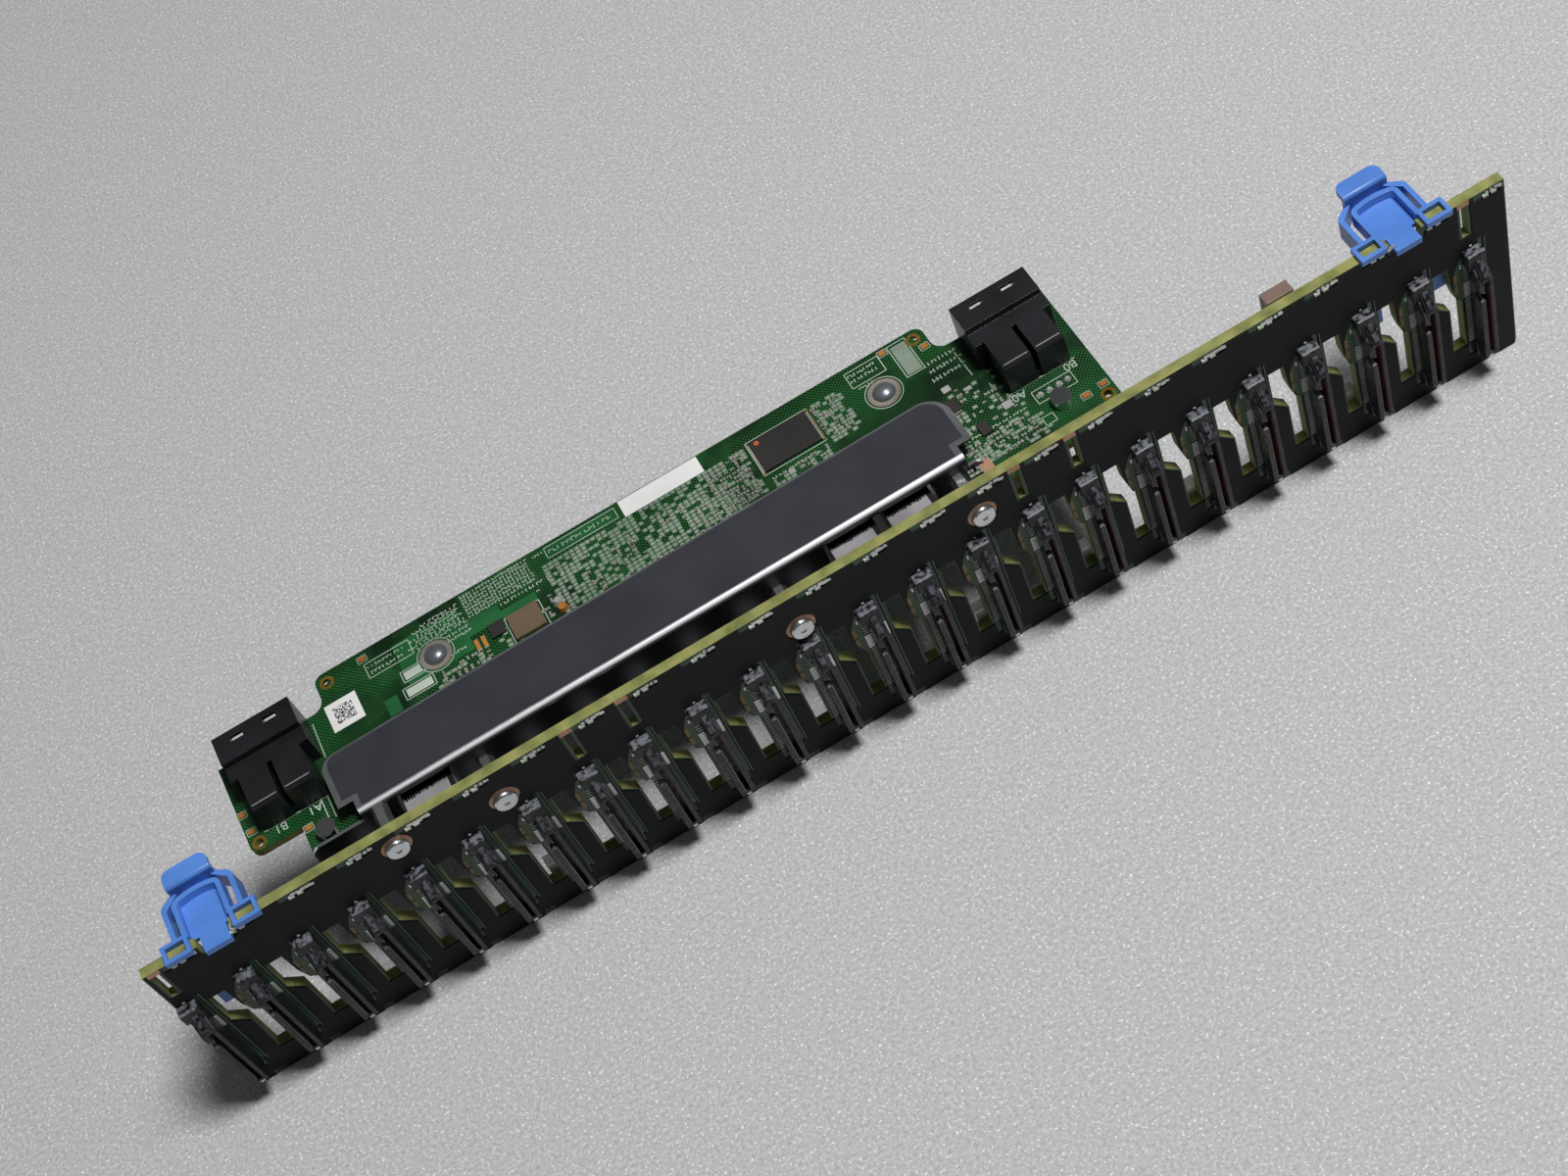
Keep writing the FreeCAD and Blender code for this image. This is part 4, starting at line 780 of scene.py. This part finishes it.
def add_small_part(along, depth, length, width, height, lengthwise=True):
    """A body and its two ends, laid along the board or across it."""
    half = length / 2

    def lay(shape, middle, reach, top):
        if lengthwise:
            add_centred(shape, along + middle, depth, 2 * reach, width, top)
        else:
            add_centred(shape, along, depth + middle, width, 2 * reach, top)

    lay(bodies, 0, half * BODY_SHARE, height)
    for side in (-1, 1):
        lay(ends, side * half * END_MIDDLE, half * END_HALF, height * END_HEIGHT)


def field_places(left, right, front, back, step_x, step_y, share):
    """Deal the places of a grid that are taken."""
    for row in range(int((back - front) / step_y)):
        for column in range(int((right - left) / step_x)):
            if layout.random() < share:
                yield left + (column + 0.5) * step_x, front + (row + 0.5) * step_y


for field in (
    (105.0, 121.5, 41.8, 47.0, 2.0, 1.7, 0.75), (139.0, 205.0, 42.0, 58.0, 2.1, 1.9, 0.3),
    (196.0, 211.0, 43.0, 62.0, 1.9, 1.6, 0.7), (232.0, 242.0, 48.0, 63.0, 1.9, 1.7, 0.6),
    (258.5, 284.0, 12.5, 22.5, 2.0, 1.7, 0.65), (264.0, 284.0, 24.0, 42.0, 2.2, 2.2, 0.4),
    (212.0, 232.0, 43.5, 48.0, 2.2, 2.0, 0.45),
):
    for along, depth in field_places(*field):
        long_way = layout.random() < 0.6
        length = layout.uniform(0.9, 1.7)
        add_small_part(along, depth, length, length * 0.55, layout.uniform(0.35, 0.7), long_way)
build("small_part_bodies", bodies, "capacitor")
build("small_part_ends", ends, "solder")

# %% [markdown]
# ## Bare and open lacquer
# Where no copper lies under the lacquer it looks brighter. These places are thin raised patches, so they
# can have their own finish.

# %% Lacquer patches
shape = begin()
for edges in (
    (96.0, 117.0, 48.0, 64.0), (117.0, 128.0, 52.5, 58.0), (128.0, 139.0, 51.6, 55.0),
    (87.5, 91.5, 42.0, 48.0), (147.2, 169.5, 63.2, 66.4), (167.8, 170.0, 55.6, 57.4),
):
    add_slab(shape, *edges, 0.02)
build("bright_patches", shape, "bright_lacquer")
shape = begin()
add_slab(shape, 119.0, 142.0, 58.2, 67.4, 0.015)
build("open_patches", shape, "mid_lacquer")

# %% [markdown]
# ## Print on the expander board
# White ink marks where parts go: outlines round the ports and the memory chip, blocks that stand for tables
# of settings, and short strokes. Each is a thin raised block, because ink does lie on top of the lacquer.

# %% White print
INK = 0.04  # thickness in mm
prints = begin()


def add_line(along, depth, length, width, turn=0.0, shape=prints):
    made = add_block(shape, Vector((0, -width / 2, 0)) * MM, Vector((length, width / 2, INK)) * MM)
    turn_flat(shape, made, turn, on_deck(along, depth))


def add_frame(left, right, front, back, width, shape=prints):
    for depth in (front, back):
        add_line(left, depth, right - left, width, 0.0, shape)
    for along in (left, right):
        add_line(along, front, back - front, width, 90, shape)


def add_strokes(left, right, depth, tall, count):
    """A row of short strokes of uneven length, as a line of small marks looks from afar."""
    step = (right - left) / count
    for place in range(count):
        height = tall * layout.uniform(0.45, 1.0)
        along = left + place * step
        add_line(along, depth - height / 2, height, 0.28, 90)
        if layout.random() < 0.6:
            add_line(along, depth + layout.uniform(-0.4, 0.4) * tall, step * 0.7, 0.25)


for edges in (
    (95.0, 101.8, 50.0, 54.0), (93.6, 103.2, 44.2, 48.2), (260.6, 266.4, 53.6, 67.0),
    (86.8, 101.0, 57.8, 63.2), (211.4, 231.6, 48.9, 62.6), (286.1, 298.5, 21.7, 26.5),
    (246.0, 257.0, 60.0, 66.2), (147.0, 170.0, 62.8, 66.8), (284.2, 287.6, 14.0, 17.0),
    (127.8, 138.9, 41.7, 51.8),
):
    add_frame(*edges, 0.25)
for edges in ((95.7, 101.0, 50.6, 53.4), (94.4, 102.5, 44.8, 47.6)):
    add_slab(prints, *edges, 0.05)
for row in range(21):
    add_line(261.2, 54.4 + row * 0.57, 4.7, 0.26)
for along, depth, length, turn in (
    (66.3, 41.5, 12.5, 88), (42.6, 29.7, 20.3, 0), (62.4, 21.7, 8.0, 90), (60.4, 21.7, 8.0, 90),
    (276.0, 42.5, 10.5, 92), (280.5, 29.7, 21.5, 0),
):
    add_line(along, depth, length, 0.3, turn)
for left, right, depth, tall, count in (
    (246.6, 256.0, 64.6, 1.3, 9), (246.6, 256.0, 62.4, 1.3, 8), (247.5, 252.5, 58.8, 1.2, 5),
    (266.5, 277.0, 54.0, 1.5, 9), (266.8, 278.0, 51.0, 1.5, 10), (266.0, 277.0, 47.8, 1.7, 9),
    (87.6, 99.8, 61.6, 1.2, 10), (88.0, 99.0, 59.4, 1.2, 9), (52.0, 62.0, 33.5, 2.4, 7),
    (213.0, 229.0, 46.6, 0.9, 15), (148.0, 168.6, 64.8, 1.6, 14), (263.0, 283.0, 22.9, 1.0, 18),
    (287.0, 297.8, 24.2, 1.8, 7), (102.5, 119.0, 58.4, 1.2, 11), (103.0, 118.0, 60.6, 1.3, 10),
    (104.0, 117.0, 62.8, 1.3, 9), (106.0, 118.4, 65.2, 1.2, 9),
):
    add_strokes(left, right, depth, tall, count)
for row in range(7):
    add_strokes(119.6, 141.6, 58.9 + row * 1.3, 1.15, 21)
for left, right, depth, count in (
    (110.0, 119.0, 55.0, 8), (111.0, 118.6, 56.6, 7), (100.0, 119.0, 59.6, 15), (101.5, 118.5, 61.8, 14),
    (103.0, 118.0, 64.0, 12), (129.0, 143.0, 57.0, 12), (143.0, 147.0, 66.0, 4), (108.5, 116.0, 50.2, 6),
):
    add_strokes(left, right, depth, 1.1, count)
for centre in SCREW_SPOTS:
    add_ring(prints, on_deck(*centre), 5.5, 5.75, INK)
build("board_print", prints, "white_ink")

# %% [markdown]
# ## Printed boxes
# Most of the board is covered by small printed boxes, each with a tinned land in it. They are dealt in
# fields like the small parts.

# %% Printed boxes with tinned lands
outlines = begin()
inner = begin()
for field in (
    (144.0, 205.0, 42.0, 62.4, 1.75, 1.4, 0.74), (205.5, 211.0, 43.5, 62.5, 1.6, 1.3, 0.6),
    (233.0, 243.6, 46.6, 64.0, 1.6, 1.35, 0.6), (103.0, 121.5, 41.6, 47.0, 1.7, 1.4, 0.5),
    (258.5, 286.0, 11.5, 23.0, 1.6, 1.3, 0.5), (264.5, 284.0, 24.0, 41.5, 1.9, 1.5, 0.3),
    (212.5, 231.5, 43.0, 48.5, 1.7, 1.4, 0.35), (122.0, 143.0, 42.0, 52.0, 1.75, 1.5, 0.22),
):
    for along, depth in field_places(*field):
        wide = layout.uniform(0.55, 0.74)
        deep = layout.uniform(0.4, 0.54)
        add_frame(along - wide, along + wide, depth - deep, depth + deep, 0.16, outlines)
        add_line(along - wide * 0.68, depth, wide * 1.36, deep * 1.15, 0.0, inner)
build("pad_outlines", outlines, "pad_print")
build("pad_lands", inner, "tin")

# %% [markdown]
# ## Port letters
# Each cable port has its two marks beside it, which read from the rear. They are letters with a little
# thickness, taken from a text curve and laid on the board.

# %% Port letters
MARK_SIZE = 3.8
MARK_TURN = 180


def add_mark(name, text, along, depth):
    letters = bpy.data.curves.new(name, "FONT")
    letters.body = text
    letters.size = MARK_SIZE * MM
    letters.extrude = 0.02 * MM
    writing = bpy.data.objects.new(name, letters)
    bpy.context.scene.collection.objects.link(writing)
    shape = begin()
    shape.from_mesh(writing.to_mesh())
    writing.to_mesh_clear()
    bpy.data.objects.remove(writing)
    turn_flat(shape, shape.verts, MARK_TURN, on_deck(along, depth, 0.03))
    build(name, shape, "white_ink")


add_mark("mark_a1", "A1", 60.2, 29.0)
add_mark("mark_b1", "B1", 49.4, 29.3)
add_mark("mark_a0", "A0", 285.2, 28.9)
add_mark("mark_b0", "B0", 301.6, 29.2)

# %% [markdown]
# ## Code label
# The code label carries a small square of dark cells. Here they are dealt at random, so they say nothing.

# %% Code cells
CELLS = 18
CELL = 0.33

shape = begin()
code_low, code_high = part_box("code_label")
code_middle = (code_low + code_high) / 2
for row in range(CELLS):
    for column in range(CELLS):
        if layout.random() < 0.5:
            corner = Vector((column - CELLS / 2, row - CELLS / 2, 0)) * CELL * MM
            low = Vector((code_middle.x, code_middle.y, code_high.z)) + corner
            add_block(shape, low, low + Vector((CELL, CELL, 0.02)) * MM)
build("code_cells", shape, "ink")

# %% [markdown]
# ## Gold parts and bare pads
# Eight gold pads sit in printed frames. Four gold parts, a copper land and some bright posts join them.

# %% Gold pads and parts
GOLD_PADS = [
    (87.0, 65.4), (38.6, 38.6), (39.4, 32.0), (54.2, 23.2),
    (258.7, 66.0), (269.8, 60.4), (303.8, 16.7), (298.0, 16.1),
]

shape = begin()
borders = begin()
for along, depth in GOLD_PADS:
    add_centred(shape, along, depth, 2.2, 1.6, 0.3, 0.08)
    add_frame(along - 1.45, along + 1.45, depth - 1.15, depth + 1.15, 0.18, borders)
for part in ((190.8, 41.9, 3.0, 1.2), (118.0, 48.3, 1.3, 4.4), (120.2, 48.3, 1.3, 4.4)):
    add_centred(shape, *part, 0.35, 0.08)
add_rod(shape, on_deck(144.0, 44.6), 1.6, 1.3, top_radius=1.2)
build("gold_parts", shape, "gold")
build("pad_borders", borders, "white_ink")

shape = begin()
add_slab(shape, 262.5, 265.9, 10.7, 15.6, 0.08, 0.03)
build("copper_land", shape, "copper")
shape = begin()
add_rod(shape, on_deck(143.6, 47.2), 1.7, 1.5, top_radius=1.0)
for along in (288.0, 290.9, 293.8, 296.7):
    add_rod(shape, on_deck(along, 24.3), 1.0, 0.7, top_radius=0.6)
for part in (
    (218.6, 45.2, 2.0, 1.8), (267.4, 42.6, 2.6, 2.2), (272.5, 38.9, 2.4, 1.4), (278.9, 27.0, 3.0, 2.6),
):
    add_centred(shape, *part, 0.5, 0.1)
build("bright_parts", shape, "solder")

# %% [markdown]
# ## Chip leads and small dark chips
# The memory chip and the small chip stand on rows of bright leads that reach out a little at their edges.
# The memory chip also has a dot in one corner and two narrow strips. The controller chip is drawn smaller
# than its node, and two more dark chips stand on the board.

# %% Chip leads and small dark chips
shape = begin()
memory_low, memory_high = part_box("memory_chip")
small_low, small_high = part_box("small_chip")
for number in range(22):
    depth = memory_low.y + (0.35 + number * 0.52) * MM
    for edge in (memory_low.x - 0.7 * MM, memory_high.x):
        low = Vector((edge, depth, DECK))
        add_block(shape, low, low + Vector((0.7, 0.34, 0.35)) * MM)
for number in range(8):
    along = small_low.x + (0.3 + number * 0.7) * MM
    for edge in (small_low.y, small_high.y):
        low = Vector((along, edge - 0.6 * MM, DECK))
        add_block(shape, low, low + Vector((0.36, 1.2, 0.3)) * MM)
build("chip_leads", shape, "solder")

shape = begin()
for along in (211.9, 231.4):
    add_slab(shape, along - 0.3, along + 0.3, 49.2, 62.4, 0.1)
build("chip_end_strips", shape, "brass")
shape = begin()
add_slab(shape, 128.4, 138.2, 42.3, 51.2, 1.4, 0.12)
piece = build("controller_chip_fine", shape, "brown_chip")
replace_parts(piece, "controller_chip")
shape = begin()
add_slab(shape, 122.6, 127.0, 47.3, 52.2, 0.9, 0.1)
add_slab(shape, 268.1, 271.3, 21.4, 26.2, 0.9, 0.1)
build("dark_chips", shape, "chip")
shape = begin()
add_rod(shape, Vector((memory_low.x + 2.0 * MM, memory_high.y - 1.6 * MM, memory_high.z)), 0.8, 0.03)
build("chip_dot", shape, "dot")

# %% [markdown]
# ## Combs on the board headers
# The top of each header shows a comb of thin teeth of uneven length, which end under a dark cover along the
# rear edge. A second cover closes the right end.

# %% Combs on the board headers
TOOTH_STEP = 0.8
COVER = 1.8  # how much of the rear of a header is covered, in mm

shape = begin()
for number in (1, 2, 3):
    low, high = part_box(f"board_header_{number}")
    base = high.z - 0.1 * MM
    corner = high + Vector((0, 0, 0.1)) * MM
    teeth = int((high.x - low.x) / MM / TOOTH_STEP)
    for tooth in range(1, teeth):
        length = layout.uniform(0.6, 1.8)
        rear = high.y - (COVER - 0.1) * MM
        place = Vector((low.x + tooth * TOOTH_STEP * MM, rear - length * MM, base))
        add_block(shape, place, place + Vector((0.5, length, 0.16)) * MM)
    add_block(shape, Vector((low.x, high.y - COVER * MM, base)), corner, 0.05)
    add_block(shape, Vector((high.x - 1.5 * MM, low.y, base)), corner, 0.05)
build("header_combs", shape, "sink")

# %% [markdown]
# ## Bars across the cable ports
# Two thin zinc bars lie near the front edge of each port. They stand for the cage's metal lip and carry
# the painted highlight of its bright front-top edge.

# %% Bars across the cable ports
shape = begin()
for side in ("left", "right"):
    port_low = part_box(f"cable_port_{side}")[0]
    for along in (3.2, 13.5):
        low = Vector((port_low.x + along * MM, port_low.y + 1.0 * MM, DECK + 11.3 * MM))
        # Painted highlight: pale zinc blocks along the front-top edge of each cage.
        add_block(shape, low, low + Vector((7.5, 0.45, 0.3)) * MM, 0.08)
build("port_lips_and_highlights", shape, "zinc")

# %% [markdown]
# ## Floor
# The board is shown on a plain pale floor with a fine grain, as in a small product studio.

# %% Floor
shape = begin()
bmesh.ops.create_grid(shape, x_segments=2, y_segments=2, size=3.0)
mesh = bpy.data.meshes.new("studio_floor")
shape.to_mesh(mesh)
shape.free()
floor = bpy.data.objects.new("studio_floor", mesh)
bpy.context.scene.collection.objects.link(floor)
paper = Finish("studio_paper", roughness=0.9)
sparkle = paper.ramp(paper.noise(900, 2), 0.25, 0.75)
flakes = paper.ramp(paper.noise(1150, 1), 0.63, 0.7)
grey = paper.mix(sparkle, shade(172, 172, 173), shade(208, 208, 209))
paper.colour(paper.mix(flakes, grey, shade(244, 244, 244)))
paper.bump(paper.noise(700, 3), 0.0004, 0.3)
floor.data.materials.append(paper.material)

# %% [markdown]
# ## Air and lamp
# One square lamp hangs high above the board and gives soft shadows. The air is dim, so that the hollows
# stay dark.

# %% Air and lamp
world = bpy.data.worlds.new("studio_air")
bpy.context.scene.world = world
world.use_nodes = True
air = world.node_tree.nodes["Background"]
air.inputs["Color"].default_value = (1.0, 1.0, 1.0, 1.0)
air.inputs["Strength"].default_value = 0.07


def add_lamp(name, place, target, size, power):
    lamp = bpy.data.lights.new(name, "AREA")
    lamp.shape = "RECTANGLE"
    lamp.size, lamp.size_y = size
    lamp.energy = power
    holder = bpy.data.objects.new(name, lamp)
    bpy.context.scene.collection.objects.link(holder)
    holder.location = place
    holder.rotation_euler = (Vector(target) - Vector(place)).to_track_quat("-Z", "Y").to_euler()


add_lamp("roof_light", (0.5, -0.16, 1.85), (0, 0, 0), (0.44, 0.44), 33.0)

# %% [markdown]
# ## Camera
# The camera looks down at the board from the front, turned so that the board runs up from left to right.

# %% Camera
lens = bpy.data.cameras.new("product_camera")
lens.sensor_width = 36.0
lens.lens = 59.84
camera = bpy.data.objects.new("product_camera", lens)
bpy.context.scene.collection.objects.link(camera)
camera.location = (-0.041503, -0.412820, 0.632824)
heading = Matrix.Rotation(math.radians(-3.97), 3, "Z")
down = Matrix.Rotation(math.radians(90 - 53.40), 3, "X")
lean = Matrix.Rotation(math.radians(-27.25), 3, "Z")
camera.rotation_euler = (heading @ down @ lean).to_euler()
bpy.context.scene.camera = camera
print("camera ready")

# %% View transform
bpy.context.scene.view_settings.view_transform = "Standard"
